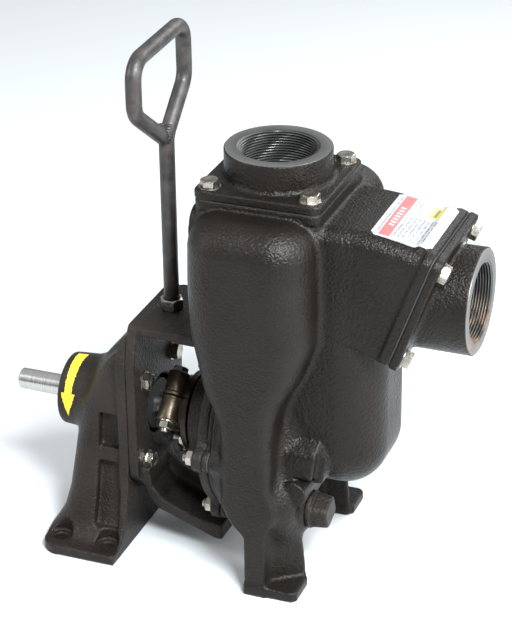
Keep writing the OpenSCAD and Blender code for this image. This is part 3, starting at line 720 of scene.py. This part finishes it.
def casing_field(x, y, z):
    out, down = suction_places(x, z)
    side = np.abs(y)
    leg_gap = block(x, y, z, (-60, -74.7, -60), (90, 74.7, 86), 1)
    upper = carved(tower(x, y, z), 4, leg_gap)
    volute = both(both(np.hypot(y, z - SHAFT_Z) - VOLUTE_R, x - 16, 16), RIM_X - x, 2)
    bulge = drum_x(x, y, z, -20, 50, 88, 24)
    body = joined(12, upper, volute, bulge)
    neck = block(x, y, z, (-71.5, -68.5, NECK_LOW_Z), (71.5, 68.5, 470), 5)
    neck = np.maximum(neck, z - (SEAT_Z - GASKET_T))
    lip = slab(flange_plan(x, y, FLANGE_HALF - 1), z, LIP_LOW_Z, SEAT_Z - GASKET_T, 1.5)
    body = grown(body, (9, tank(x, y, z)), (7, neck), (3, lip))
    # Flange that takes the leaning suction casting, with a rough rib along its top
    seat = slab(flange_plan(y, down, FLANGE_HALF - 1), out, -22, -PLATE_T - GASKET_T, 1.5)
    rib = block(out, y, down, (-34, -60, -FLANGE_HALF + 0.5), (-12, 60, -FLANGE_HALF + 12), 4)
    body = joined(5, body, seat, rib)
    # Bosses round the rim that take the studs
    body = joined(8, body, *stud_drums(x, y, z, RIM_X, -20, STUD_LUG_R, 3))
    # Legs: foot pad with a cut corner, outer rib (the tower's own lower end) and recessed web
    foot_plan = [(0.3, 74.7), (55, 74.7), (62.6, 82), (62.6, 117), (57, 122.6), (0.3, 122.6)]
    foot = slab(outline(x, side, foot_plan, 2), z, 0, FOOT_T, 2)
    web = slab(outline(x, side, [(10, 75), (58, 75), (58, 79), (24, 104), (10, 104)], 2), z, 3, 77, 3)
    web = both(web, x - 60 + (z - 10) * 0.12, 2)
    body = joined(7, body, joined(5, foot, web))
    # Cast pads and bosses on the viewer's side
    shelf = outline(x, z, [(27, 146), (69, 143), (75, 187), (33, 186)], 3)
    shelf = both(slab(shelf, y, -88, -50, 2.5), (z - 187) * 0.74 - (y + 72) * 0.67, 3)
    gusset = outline(x, z, [(66, 134), (78, 136), (84, 165), (73, 187)], 3)
    gusset = slab(gusset, y, -77, -50, 3)
    # Sump: smooth swelling from the near leg to the drain boss, with a flat disc cast on it
    sump = drum_x(x, y, z, -30, 53, 46, 24, SUMP_Y, SUMP_Z)
    drain = drum_x(x, y, z, 24, DRAIN_X, 25, 3, DRAIN_Y, DRAIN_Z)
    disc = slab(np.hypot(x - DISC_X, z - DISC_Z) - 16, y, -97, -50, 1.5)
    body = grown(body, (4, shelf), (5, gusset), (16, sump), (9, drain), (2, disc))
    spot = [drum_x(x, y, z, -100, RIM_X, STUD_RING_R - 4, 1), *stud_drums(x, y, z, -100, RIM_X, SPOT_R, 1)]
    body = carved(body, 1.5, casing_cavity(x, y, z), drum_x(x, y, z, 40, 70, 11.5, 0.5, DRAIN_Y, DRAIN_Z),
                  drum_x(x, y, z, DRAIN_X, 90, 25, 2, DRAIN_Y, DRAIN_Z), *spot)
    return np.maximum(body, -z)


def build_casing():
    low, high = span("casing")
    mesh = surface_net(casing_field, np.maximum(low, [-76, -128, 0]) - 4, high + 4, 2.1)
    make("casing_casting", mesh, CASING_PAINT, replaces=["casing"], sharp=0)


# ---------- port castings ----------

def discharge_field(x, y, z):
    plate = slab(flange_plan(x, y), z, SEAT_Z, SEAT_Z + PLATE_T, 2)
    boss = slab(np.hypot(x, y) - PORT_BOSS_R, z, SEAT_Z + 2, PORT_FACE_Z - 0.5, 1)
    spots = slab(bolt_spots(x, y), z, SEAT_Z, SEAT_Z + PLATE_T + 0.6, 0.6)
    body = grown(plate, (7, boss), (2, spots))
    return carved(body, 0.5, slab(np.hypot(x, y) - BORE_R - 4, z, SEAT_Z - 20, PORT_FACE_Z + 20, 0.2))


def suction_field(x, y, z):
    out, down = suction_places(x, z)
    reach = np.hypot(y, z - SUCTION_Z)
    plate = slab(flange_plan(y, down), out, -PLATE_T, 0, 2)
    boss = np.maximum(slab(reach - PORT_BOSS_R, x, 120, SUCTION_FACE_X - 0.5, 1), -out - PLATE_T + 1)
    spots = slab(bolt_spots(y, down), out, -PLATE_T, 0.6, 0.6)
    body = grown(plate, (7, boss), (2, spots))
    body = carved(body, 0.5, slab(reach - BORE_R - 4, x, 186, SUCTION_FACE_X + 20, 0.2),
                  slab(reach - 38, x, 100, 200, 0.2))
    lugs = slab(np.hypot(down + 49, out + PLATE_T + 12) - 6, np.abs(y), 11, 17, 1)
    return joined(2, body, np.maximum(lugs, out + PLATE_T - 2))


PITCH = 25.4 / 8


def port_ring(depth):
    """Machined face and helical pipe threads of a port, built along +Z with its face at z = 0."""
    segments = 128
    turn = np.arange(segments) / segments
    rows = [(PORT_BOSS_R - 0.9, -1.0), (PORT_BOSS_R - 1.2, 0.0), (BORE_R + 3.4, 0.0), (BORE_R + 3.0, -0.3)]
    steps = int(depth / (PITCH / 8))
    for i in range(steps + 1):
        z = -0.9 - i * (depth - 0.9) / steps
        wave = np.abs(2 * ((z / PITCH - turn) % 1) - 1)
        cut = 2.3 * np.clip(1.3 * wave - 0.15, 0, 1)
        mouth = max(0.0, 3.0 + 2 * z)
        radius = np.maximum(BORE_R + cut, BORE_R + mouth)
        rows.append((radius, z))
    rows.append((BORE_R + 4.4, -depth - 0.2))
    return revolved(rows, segments)


def build_ports():
    half = FLANGE_HALF + 2
    mesh = surface_net(discharge_field, (-half, -half, SEAT_Z), (half, half, PORT_FACE_Z), 1.35)
    make("discharge_casting", mesh, CASING_PAINT, replaces=["discharge_flange"], sharp=50)
    threads = moved(port_ring(PORT_FACE_Z - SEAT_Z), (0, 0, PORT_FACE_Z))
    make("discharge_port_threads", threads, MACHINED, sharp=35)
    low, high = span("suction_flange")
    mesh = surface_net(suction_field, low - 1, high + 0.5, 1.35)
    make("suction_casting", mesh, CASING_PAINT, replaces=["suction_flange"], sharp=50)
    threads = moved(port_ring(SUCTION_FACE_X - 191), (SUCTION_FACE_X, 0, SUCTION_Z), ALONG_X)
    make("suction_port_threads", threads, SUCTION_THREADS, sharp=35)


# ---------- fasteners ----------

def hex_radius(corner_r, segments):
    angle = np.arange(segments) * 2 * np.pi / segments
    flat = corner_r * math.cos(math.pi / 6)
    return flat / np.cos((angle % (np.pi / 3)) - np.pi / 6)


def hex_head(corner_r, height, both_ends=False, bore_r=0.0):
    """Hexagon with its corners turned off at 30 degrees, standing on z = 0."""
    segments = 72
    flat = corner_r * math.cos(math.pi / 6)
    side = hex_radius(corner_r, segments)
    drop = (corner_r - 0.93 * flat) * math.tan(math.radians(30))
    steps = [0.0, 0.25, 0.5, 0.75, 1.0]

    def crown(t):
        return np.minimum(side, corner_r - t * (corner_r - 0.93 * flat))

    rows = [(bore_r, 0.0)]
    if both_ends:
        rows += [(crown(t), (1 - t) * drop) for t in reversed(steps)]
    else:
        rows += [(side - 0.3, 0.0), (side, 0.3)]
    rows += [(crown(t), height - (1 - t) * drop) for t in steps]
    if bore_r:
        rows += [(bore_r + 0.8, height), (bore_r, height - 0.8), (bore_r, 0.0)]
    else:
        rows += [(0.5 * flat, height), (0.46 * flat, height - 0.12), (0.0, height - 0.12)]
    return revolved(rows, segments)


def washer(outer, inner, thickness):
    e = 0.25
    return revolved([(inner, 0), (outer - e, 0), (outer, e), (outer, thickness - e), (outer - e, thickness),
                     (inner, thickness), (inner, 0)], 64)


def threaded_rod(radius, length, pitch=1.6):
    """Rod along +Z with rings of thread and a rounded end at the top."""
    rows = [(0.0, 0.0), (radius, 0.0)]
    root = radius * 0.87
    for i in range(int((length - 2) / pitch)):
        z = (i + 1) * pitch
        rows += [(radius, z - 0.5 * pitch), (root, z - 0.15 * pitch), (root, z), (radius, z + 0.3 * pitch)]
    rows += [(radius, length - 1.2), (radius * 0.72, length), (0.0, length)]
    return revolved(rows, 40)


def make_zinc(name, mesh, node, body="frame"):
    make(name, mesh, ZINC, body, [node], sharp=28)


def flange_bolt(spin):
    twist = np.array(Matrix.Rotation(spin, 3, "Z"))
    return combined(washer(12.4, 6.3, 1.5), moved(hex_head(11, 8), (0, 0, 1.5), twist),
                    revolved([(0.0, -14), (6.1, -14), (6.1, 1.0), (0, 1.0)], 32))


ADAPTER_BOLT_Y, ADAPTER_BOLT_Z = 41.5, 52.5
BOLT_SPINS = [0.2, 0.95, 0.55, 0.35]


def build_flange_bolts():
    corners = [(sx, sy) for sx in (-1, 1) for sy in (-1, 1)]
    top, lean, join = [], [], []
    for (sx, sy), spin, lean_spin in zip(corners, BOLT_SPINS, reversed(BOLT_SPINS)):
        bolt = flange_bolt(spin)
        top.append(moved(bolt, (sx * FLANGE_BOLT, sy * FLANGE_BOLT, SEAT_Z + PLATE_T)))
        at = SUCTION_CENTRE + ON_SUCTION @ (sx * FLANGE_BOLT, sy * FLANGE_BOLT, 0)
        lean.append(moved(flange_bolt(lean_spin), at, ON_SUCTION))
        at = (MATING_X + ADAPTER_T, sx * ADAPTER_BOLT_Y, SHAFT_Z - 2 + sy * ADAPTER_BOLT_Z)
        join.append(moved(bolt, at, ALONG_X))
    make_zinc("discharge_hex_bolts", combined(*top), "discharge_bolts")
    make_zinc("suction_hex_bolts", combined(*lean), "suction_bolts")
    make_zinc("adapter_hex_bolts", combined(*join), "adapter_bolts")


def build_studs():
    pieces = []
    for place in stud_places():
        at = np.array([ADAPTER_FACE_X, *place])
        pieces += [moved(washer(10.4, 4.8, 1.3), at, AGAINST_X),
                   moved(hex_head(9.2, 7.7, True, 4.7), at - (1.3, 0, 0), AGAINST_X),
                   moved(threaded_rod(4.7, 48), at + (34, 0, 0), AGAINST_X)]
    make_zinc("casing_studs_and_nuts", combined(*pieces), "adapter_studs")


# ---------- back plate ----------

def back_field(x, y, z):
    end = BACK_FLANGE_X + BACK_FLANGE_T
    body = drum_x(x, y, z, BACK_FLANGE_X, end, 100, 1.5)
    body = joined(6, body, *stud_drums(x, y, z, BACK_FLANGE_X, end, STUD_LUG_R, 1.5))
    boss = np.minimum.reduce([drum_x(x, y, z, -98, -60, 13, 2, s * GLAND_STUD_R, SHAFT_Z + s * GLAND_STUD_R)
                               for s in (-1, 1)])
    body = grown(body, (2, drum_x(x, y, z, -50, -36, 96, 1)), (6, drum_x(x, y, z, -72, -48, 66, 3)),
                 (8, drum_x(x, y, z, -98, -48, 48, 2)), (6, boss))
    return carved(body, 0.8, drum_x(x, y, z, -120, -56, 25, 0.5), drum_x(x, y, z, -120, 0, 18, 0.5))


def build_back_plate():
    reach = STUD_RING_R + 14
    mesh = surface_net(back_field, (-98, -reach, SHAFT_Z - reach), (-36, reach, SHAFT_Z + reach), 1.9)
    make("back_plate_casting", mesh, BRACKET_PAINT, replaces=["back_plate"], sharp=0)


# ---------- drain plug ----------

DRAIN_SPIN = math.radians(20)


def plug_field(x, y, z):
    c, s = math.cos(DRAIN_SPIN), math.sin(DRAIN_SPIN)
    u, v = (y - DRAIN_Y) * c + (z - DRAIN_Z) * s, -(y - DRAIN_Y) * s + (z - DRAIN_Z) * c
    ring = slab(np.hypot(u, v) - 22, x, DRAIN_X, DRAIN_X + 5, 1.2)
    taper = 0.08 * (x - DRAIN_X - 5)
    head = slab(pad(u, v, 17.5 - taper, 16 - taper, 8), x, DRAIN_X + 2, span("drain_plug")[1][0], 3)
    thread = slab(np.hypot(u, v) - 11.4, x, DRAIN_X - 12, DRAIN_X + 2, 0.8)
    return np.minimum(joined(2, ring, head), thread)


def build_drain():
    low, high = span("drain_plug")
    mesh = surface_net(plug_field, low - 1, high + 0.5, 0.8)
    make("drain_plug_casting", mesh, BRACKET_PAINT, replaces=["drain_plug"], sharp=0)


# ---------- gland, clamp and its fasteners ----------

# The clamp's bolted lugs: out from the shaft, back from the gland's flange, radius and half their length
LUG_OUT = 40
LUG_BACK = 14
LUG_R = 12.5
LUG_HALF = 30
GLAND_STUD_R = 36
GLAND_STUD_AT = 25.5


def gland_field(side):
    """One half of the split gland, in a frame turned 45 degrees about the shaft (centred on it)."""
    def field(x, y, z):
        r = np.hypot(y, z)
        flange = slab(r - 47, x, GLAND_X, GLAND_X + 8, 1.5)
        collar = slab(r - 27, x, GLAND_X - 27, GLAND_X + 2, 2.5)
        nose = slab(r - 24.5, x, GLAND_X, GLAND_X + 17, 0.8)
        lug_plan = np.hypot(x - GLAND_X + LUG_BACK, np.abs(y) - LUG_OUT) - LUG_R
        lug = slab(lug_plan, z, -LUG_HALF, LUG_HALF, 1.6)
        rim = slab(lug_plan - 0.8, np.abs(z), 1.0, 4.5, 0.8)
        ear = slab(np.abs(y) - LUG_OUT, z, -13, 13, 3)
        ear = both(ear, np.abs(x - GLAND_X + LUG_BACK) - 9, 3)
        body = joined(7, flange, collar, ear)
        body = joined(4, body, np.minimum(lug, rim))
        body = np.minimum(body, nose)
        holes = np.minimum(r - 18, np.hypot(np.abs(z) - GLAND_STUD_R, y) - 5.2)
        body = carved(body, 0.6, holes)
        return both(body, 0.35 - side * z, 0.5)
    return field


def build_gland():
    centre = (0, 0, SHAFT_Z)
    for side, name in ((1, "upper"), (-1, "lower")):
        low, high = (GLAND_X - 28, -56, min(0, side * 48)), (GLAND_X + 18, 56, max(0, side * 48))
        mesh = moved(surface_net(gland_field(side), low, high, 0.95), centre, ABOUT_SHAFT)
        make(f"gland_{name}_casting", mesh, BRONZE, "gland", [f"gland_{name}_half"], sharp=0)
    pieces = []
    down = np.diag([1, -1, -1])
    for end in (-1, 1):
        at = np.array([GLAND_X - LUG_BACK, end * LUG_OUT, 0])
        pieces += [moved(hex_head(9.5, 6.5), at + (0, 0, LUG_HALF)),
                   moved(washer(10.6, 5.2, 1.4), at - (0, 0, LUG_HALF), down),
                   moved(hex_head(9.5, 7.6, True, 5), at - (0, 0, LUG_HALF + 1.4), down),
                   moved(threaded_rod(5, 74), at + (0, 0, LUG_HALF + 1), down)]
    clamp = moved(combined(*pieces), centre, ABOUT_SHAFT)
    make_zinc("gland_clamp_fasteners", clamp, "gland_clamp_bolts", "gland")
    spots = [np.array([GLAND_X, s * GLAND_STUD_AT, SHAFT_Z + s * GLAND_STUD_AT]) for s in (-1, 1)]
    nuts = combined(*[moved(hex_head(8.6, 7.5, True, 4.8), at, AGAINST_X) for at in spots])
    make_zinc("gland_stud_nuts", nuts, "gland_nuts", "gland")
    rods = combined(*[moved(threaded_rod(4.6, 40), at + (24, 0, 0), AGAINST_X) for at in spots])
    make_zinc("gland_stud_rods", rods, "gland_studs")


# ---------- adapter ----------

def adapter_field(x, y, z):
    half = ADAPTER_HALF_Y
    end_plate = [(-half, 92), (-34, 58), (34, 58), (half, 92), (half, 240),
                 (57, ADAPTER_TOP), (-57, ADAPTER_TOP), (-half, 240)]
    plate = slab(outline(y, z, end_plate, 8), x, MATING_X, MATING_X + ADAPTER_T, 2)
    ring_end = ADAPTER_FACE_X + ADAPTER_T
    ring = drum_x(x, y, z, ADAPTER_FACE_X, ring_end, 100, 2)
    ring = joined(9, ring, *stud_drums(x, y, z, ADAPTER_FACE_X, ring_end, STUD_LUG_R + 1, 2))
    # Top plate, rounded where it leaves the flange and arched down to the casing
    top = slab(pad(x + 108, y, 46, 62, 14), z, ADAPTER_TOP - TOP_PLATE_T, ADAPTER_TOP, 2)
    arch = outline(x, z, [(-66, 225), (-53, 225), (-53, 262), (-72, 285), (-100, 285),
                          (-100, 276), (-78, 275), (-68, 258)], 1)
    arch = slab(arch, y, -62, 62, 3)
    # Bottom arm: a tray with a raised edge, and its centre web
    tray = outline(x, z, [(-155, 96), (-148, 62), (-132, 47), (-96, 33), (-62, 21), (-53, 21), (-53, 40),
                          (-92, 46), (-126, 60), (-140, 76), (-143, 100)], 2)
    tray = slab(tray, y, -58, 58, 3)
    web = outline(x, z, [(-158, 118), (-150, 58), (-130, 46), (-60, 24), (-55, 24), (-55, 78), (-150, 118)])
    web = carved(web, 1, np.hypot(x + 82, z - (SHAFT_Z - 3)) - 86)
    web = slab(web, y, -5, 5, 2)
    body = grown(plate, (6, top), (8, ring), (8, arch), (9, tray), (8, web))
    body = carved(body, 2, drum_x(x, y, z, -100, -40, 68, 1), drum_x(x, y, z, -190, -140, 36, 1),
                  slab(np.hypot(x - HANDLE_X, y) - ROD_R - 0.2, z, 260, 300, 0.5))
    return np.maximum(body, MATING_X - x)


def build_adapter():
    low, high = span("adapter_bracket")
    mesh = surface_net(adapter_field, low - 3, high + 3, 1.9)
    make("adapter_casting", mesh, BRACKET_PAINT, replaces=["adapter_bracket"], sharp=0)


# ---------- pedestal ----------

column_half_y = profile([(0, 106), (10, 102), (28, 89), (60, 78), (95, 69), (130, 63), (220, 62),
                         (262, 58)], 12)
column_left_x = profile([(0, -262), (18, -260), (27, -255), (36, -250), (60, -245), (96, -242), (134, -238),
                         (170, -232), (200, -216), (225, -206), (260, -204)], 9)
NOSE_Z = 262
FOOT_BOLTS_X = (-241, -181.5)
FOOT_BOLT_Y = 100


def barrel_radius(x):
    """The bearing housing grows a little from its drive end."""
    return 43 + np.clip((x - HOUSING_X) / 60, 0, 1) * 4


def pedestal_field(x, y, z):
    side = np.abs(y)
    plan = pad(x - FOOT_LEFT_X - 100, y, 100, FOOT_HALF_Y, 24)
    foot = both(slab(plan, z, -20, FOOT_T, 2.5), x - MATING_X, 1)
    # Column: outer rib that flares into the foot, its upper end a rounded nose
    reach = side - column_half_y(z)
    slant = (x + 203) * -0.70 + (z - 224) * 0.714
    column = both(both(reach, column_left_x(z) - x, 24), -smooth_min(NOSE_Z - z, -slant, 14), 7)
    # Pocket in the column's side, crossed by two ledges
    pocket = outline(x, z, [(-203, 26), (-172, 26), (-177, 130), (-180, 166), (-202, 166), (-204, 120)], 4)
    pocket = slab(pocket, reach, -11, 30, 2)
    ledge = block(x, reach, z, (-230, -20, 103), (-150, -2.5, 121), 3)
    pocket = -smooth_min(-pocket, ledge, 4)
    column = carved(column, 3, pocket)
    # Flange that meets the adapter
    face_plan = [(-70, 3), (70, 3), (ADAPTER_HALF_Y, 236), (50, 281), (-50, 281), (-ADAPTER_HALF_Y, 236)]
    face = slab(outline(y, z, face_plan, 4), x, MATING_X - ADAPTER_T, MATING_X + 20, 2)
    face = both(face, (x + 204) * -0.76 + (z - 226) * 0.65, 2)
    shoulder = [(-226, 150), (-150, 150), (-150, 283), (-157, 281), (-204, 226), (-226, 196)]
    hump = slab(outline(x, z, shoulder, 8), y, -34, 34, 10)
    housing = both(np.hypot(y, z - SHAFT_Z) - barrel_radius(x), HOUSING_X - x, 1.6)
    body = grown(column, (12, hump), (6, face), (13, housing), (12, foot))
    body = carved(body, 1, drum_x(x, y, z, -290, -258, 31, 0.5), drum_x(x, y, z, -258, -140, 36, 0.5))
    for bolt_x in FOOT_BOLTS_X:
        off = np.hypot(x - bolt_x, side - FOOT_BOLT_Y)
        body = carved(body, 1.2, off - 7, slab(off - SPOT_R, z, FOOT_T - 0.6, 40, 0.5))
    return np.maximum(np.maximum(body, x - MATING_X), -z)


def build_pedestal():
    low, high = span("bearing_pedestal")
    mesh = surface_net(pedestal_field, low - 3, high + 3, 2.0)
    make("pedestal_casting", mesh, BRACKET_PAINT, replaces=["bearing_pedestal"], sharp=0)


ARROW_TAIL = math.radians(82)
ARROW_NECK = math.radians(160)
ARROW_TIP = math.radians(200)
ARROW_WIDE = 23


def build_arrow():
    """Worn painted arrow round the housing, pointing down on the viewer's side."""
    random = np.random.default_rng(7)
    across = np.arange(0, ARROW_WIDE, 0.35)
    around = np.arange(ARROW_TAIL, ARROW_TIP, 0.0075)
    middle = ARROW_WIDE / 2
    u, v = np.meshgrid(across - middle, around, indexing="ij")
    ragged = random.normal(size=u.shape)
    for axis in (0, 1, 0, 1):
        ragged = (ragged + np.roll(ragged, 1, axis) + np.roll(ragged, -1, axis)) / 3
    head = (ARROW_TIP - v) / (ARROW_TIP - ARROW_NECK) * 10
    shank = 5 + 2 * (ARROW_NECK - v) / (ARROW_NECK - ARROW_TAIL)
    half = np.where(v < ARROW_NECK, shank, head)
    inside = (np.abs(u) + 1.6 * ragged + np.clip(-u, 0, 9) * 0.12) < half
    x = HOUSING_X + 2.5 + u + middle
    radius = barrel_radius(x) + 0.25
    y = radius * np.cos(v)
    z = SHAFT_Z + radius * np.sin(v)
    points = np.stack([x, y, z], -1).reshape(-1, 3)
    quads = grid_quads(u.shape)[inside[:-1, :-1] & inside[1:, 1:]]
    used = np.unique(quads)
    lookup = np.zeros(len(points), int)
    lookup[used] = np.arange(len(used))
    make("direction_arrow", (points[used], lookup[quads]), ARROW, sharp=0)


# ---------- lifting handle ----------

# Corners of the bent rod: across, height, radius of the bend
HANDLE_LINE = [(0, 246, 0), (0, 498, 20), (55, 548, 24), (54, GRIP_Z - ROD_R, 22),
               (-82, GRIP_Z - ROD_R - 3, 22), (-82, 553, 24), (-9.5, 499.8, 0)]
HANDLE_NUT_H = 13.5


def bent_line(corners, steps=12):
    """Stations along a line of straight runs and round bends."""
    p = np.array([c[:2] for c in corners], float)
    stations = [p[0]]
    for before, at, after, (_, _, radius) in zip(p, p[1:], p[2:], corners[1:]):
        a, b = (before - at) / np.linalg.norm(before - at), (after - at) / np.linalg.norm(after - at)
        half = math.acos(np.clip(a @ b, -1, 1)) / 2
        centre = at + (a + b) / np.linalg.norm(a + b) * radius / math.sin(half)
        start, end = at + a * radius / math.tan(half), at + b * radius / math.tan(half)
        first = math.atan2(*(start - centre)[::-1])
        turn = (math.atan2(*(end - centre)[::-1]) - first + math.pi) % (2 * math.pi) - math.pi
        stations += [centre + radius * np.array([math.cos(first + turn * t), math.sin(first + turn * t)])
                     for t in np.linspace(0, 1, steps)]
    return np.array(stations + [p[-1]])


def swept(line, radius, sides=28):
    """Round rod along a line in the Y and Z plane, its ends closed."""
    ahead = np.gradient(line, axis=0)
    ahead /= np.linalg.norm(ahead, axis=1)[:, None]
    square = np.stack([-ahead[:, 1], ahead[:, 0]], 1)
    around = np.arange(sides) * 2 * np.pi / sides
    radii = [0.0, radius - 1.2] + [radius] * len(line) + [radius - 1.2, 0.0]
    index = [0, 0] + list(range(len(line))) + [len(line) - 1] * 2
    back = [0.0, 0.0] + [1.2] + [0.0] * (len(line) - 2) + [-1.2] + [0.0, 0.0]
    rings = []
    for r, i, shift in zip(radii, index, back):
        centre = line[i] + ahead[i] * shift
        rings.append(np.stack([r * np.sin(around), centre[0] + r * np.cos(around) * square[i, 0],
                               centre[1] + r * np.cos(around) * square[i, 1]], 1))
    return np.concatenate(rings), ring_quads(len(rings), sides)


def weld_field(x, y, z):
    """Bead where the rod's free end comes back to its stem."""
    bead = np.sqrt((y + 8) ** 2 + (z - 501) ** 2 + (np.abs(x) - 3) ** 2) - 8.4
    crest = np.sqrt((y + 3) ** 2 + (z - 507) ** 2 + (np.abs(x) - 4) ** 2) - 6.4
    ripple = 0.35 * np.sin(1.9 * z + 0.8 * y)
    return joined(6, bead, crest) + ripple


def build_handle():
    line = bent_line(HANDLE_LINE)
    rod = swept(line, ROD_R)
    weld = surface_net(weld_field, (-12, -18, 490), (12, 5, 515), 0.9)
    mesh = moved(combined(rod, weld), (HANDLE_X, 0, 0))
    make("lifting_rod", mesh, ROD, replaces=["lifting_handle"], sharp=60)
    nut = hex_head(13.9, HANDLE_NUT_H, True, ROD_R + 0.1)
    make_zinc("handle_upper_nut", moved(nut, (HANDLE_X, 0, ADAPTER_TOP)), "handle_top_nut")
    lower_z = ADAPTER_TOP - TOP_PLATE_T - HANDLE_NUT_H
    make_zinc("handle_lower_nut", moved(nut, (HANDLE_X, 0, lower_z)), "handle_bottom_nut")


# ---------- label ----------

def build_label():
    """Thin sheet laid on the tank's sloping top, with rounded corners."""
    x, y = np.meshgrid(np.linspace(*LABEL_X, 36), np.linspace(-LABEL_HALF_Y, LABEL_HALF_Y, 52), indexing="ij")
    height = np.full(x.shape, 455.0)
    for _ in range(24):
        height -= casing_field(x, y, height)
    lift = 0.35 + 0.25 * np.sin(x * 0.11) * np.cos(y * 0.07)
    top = np.stack([x, y, height + lift + 0.25], -1).reshape(-1, 3)
    under = np.stack([x, y, height + lift * 0.2], -1).reshape(-1, 3)
    sheet = pad(x - sum(LABEL_X) / 2, y, (LABEL_X[1] - LABEL_X[0]) / 2, LABEL_HALF_Y, LABEL_CORNER_R) < 0.4
    keep = sheet[:-1, :-1] & sheet[1:, 1:] & sheet[1:, :-1] & sheet[:-1, 1:]
    upper = grid_quads(x.shape)[keep][:, [0, 3, 2, 1]]
    lower = upper[:, ::-1] + len(top)
    make("label_sheet", (np.concatenate([top, under]), np.concatenate([upper, lower])), VINYL,
         replaces=["label_plate"], sharp=0)


# ---------- finishes for the CAD parts that stay ----------

KEPT = [
    (BEARING, "valve_hinge_pin bearing_snap_ring impeller_key "
              "drive_bearing_outer drive_bearing_balls drive_bearing_inner "
              "rear_bearing_outer rear_bearing_balls rear_bearing_inner"),
    (BRONZE, "lantern_ring shaft_sleeve"),
    (FIBRE, "packing_rings"),
    (GASKET, "discharge_gasket suction_gasket back_gasket"),
    (GROUND, "shaft"),
    (IMPELLER, "impeller wear_plate valve_weight"),
    (RUBBER, "valve_flapper drive_seal inner_seal water_slinger"),
    (ZINC, "valve_screw impeller_washer impeller_screw"),
]


def finish_kept_parts():
    for material, names in KEPT:
        for name in names.split():
            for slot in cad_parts[name].material_slots:
                slot.material = material


# ---------- floor, light and camera ----------

def emitter(name, place, aim, size, power, colour=(1, 1, 1)):
    data = bpy.data.lights.new(name, "AREA")
    data.shape = "RECTANGLE"
    data.size, data.size_y = size
    data.energy = power
    data.color = colour
    lamp = bpy.data.objects.new(name, data)
    bpy.context.scene.collection.objects.link(lamp)
    lamp.location = place
    lamp.rotation_euler = (Vector(aim) - Vector(place)).to_track_quat("-Z", "Y").to_euler()


def build_studio():
    floor_mesh = bpy.data.meshes.new("studio_floor")
    reach = 6.0
    corners = [(-reach, -reach, 0), (reach, -reach, 0), (reach, reach, 0), (-reach, reach, 0)]
    floor_mesh.from_pydata(corners, [], [(0, 1, 2, 3)])
    floor = bpy.data.objects.new("studio_floor", floor_mesh)
    floor.location.z = -0.0005
    bpy.context.scene.collection.objects.link(floor)
    paper = Finish("studio_paper")
    paper.wear(paper.mix(paper.noise(3), (0.54, 0.54, 0.535), (0.56, 0.56, 0.555)), 0.9, 0.0)
    floor_mesh.materials.append(paper.material)

    world = bpy.data.worlds.new("studio_light")
    world.use_nodes = True
    sky = world.node_tree.nodes
    place = sky.new("ShaderNodeTexCoord")
    split = sky.new("ShaderNodeSeparateXYZ")
    ramp = sky.new("ShaderNodeValToRGB")
    links = world.node_tree.links
    links.new(place.outputs["Generated"], split.inputs[0])
    links.new(split.outputs["Z"], ramp.inputs["Fac"])
    links.new(ramp.outputs["Color"], sky["Background"].inputs["Color"])
    ramp.color_ramp.elements[0].color = (0.30, 0.29, 0.28, 1)
    ramp.color_ramp.elements[1].color = (0.95, 1.0, 1.05, 1)
    ramp.color_ramp.elements[1].position = 0.65
    sky["Background"].inputs["Strength"].default_value = 0.75
    bpy.context.scene.world = world
    middle = (0.0, 0.0, 0.3)
    emitter("key_light", (1.25, -1.25, 2.1), middle, (0.8, 0.8), 200, (0.86, 0.94, 1.0))
    emitter("left_strip", (-1.7, -0.9, 1.2), middle, (0.5, 1.4), 24, (0.95, 0.97, 1.0))
    emitter("right_strip", (1.9, -0.2, 1.0), middle, (0.5, 1.4), 38, (0.92, 0.96, 1.0))
    emitter("back_strip", (0.8, 1.7, 1.5), middle, (1.6, 0.7), 26, (0.93, 0.96, 1.0))


CAMERA_PLACE = (0.84060, -2.07573, 1.43350)
CAMERA_AIM = (0.02104, 0.0, 0.29973)
CAMERA_ROLL = math.radians(-0.78)
CAMERA_LENS = 128.47


def build_camera():
    data = bpy.data.cameras.new("camera")
    data.sensor_fit = "VERTICAL"
    data.sensor_height = 36
    data.lens = CAMERA_LENS
    camera = bpy.data.objects.new("camera", data)
    bpy.context.scene.collection.objects.link(camera)
    aim = (Vector(CAMERA_AIM) - Vector(CAMERA_PLACE)).to_track_quat("-Z", "Y")
    camera.matrix_world = (Matrix.Translation(CAMERA_PLACE) @ aim.to_matrix().to_4x4()
                           @ Matrix.Rotation(CAMERA_ROLL, 4, "Z"))
    bpy.context.scene.camera = camera


build_camera()
build_studio()
build_casing()
build_ports()
build_flange_bolts()
build_back_plate()
build_studs()
build_drain()
build_gland()
build_adapter()
build_pedestal()
build_arrow()
build_handle()
build_label()
finish_kept_parts()
bpy.context.scene.view_settings.view_transform = "Standard"
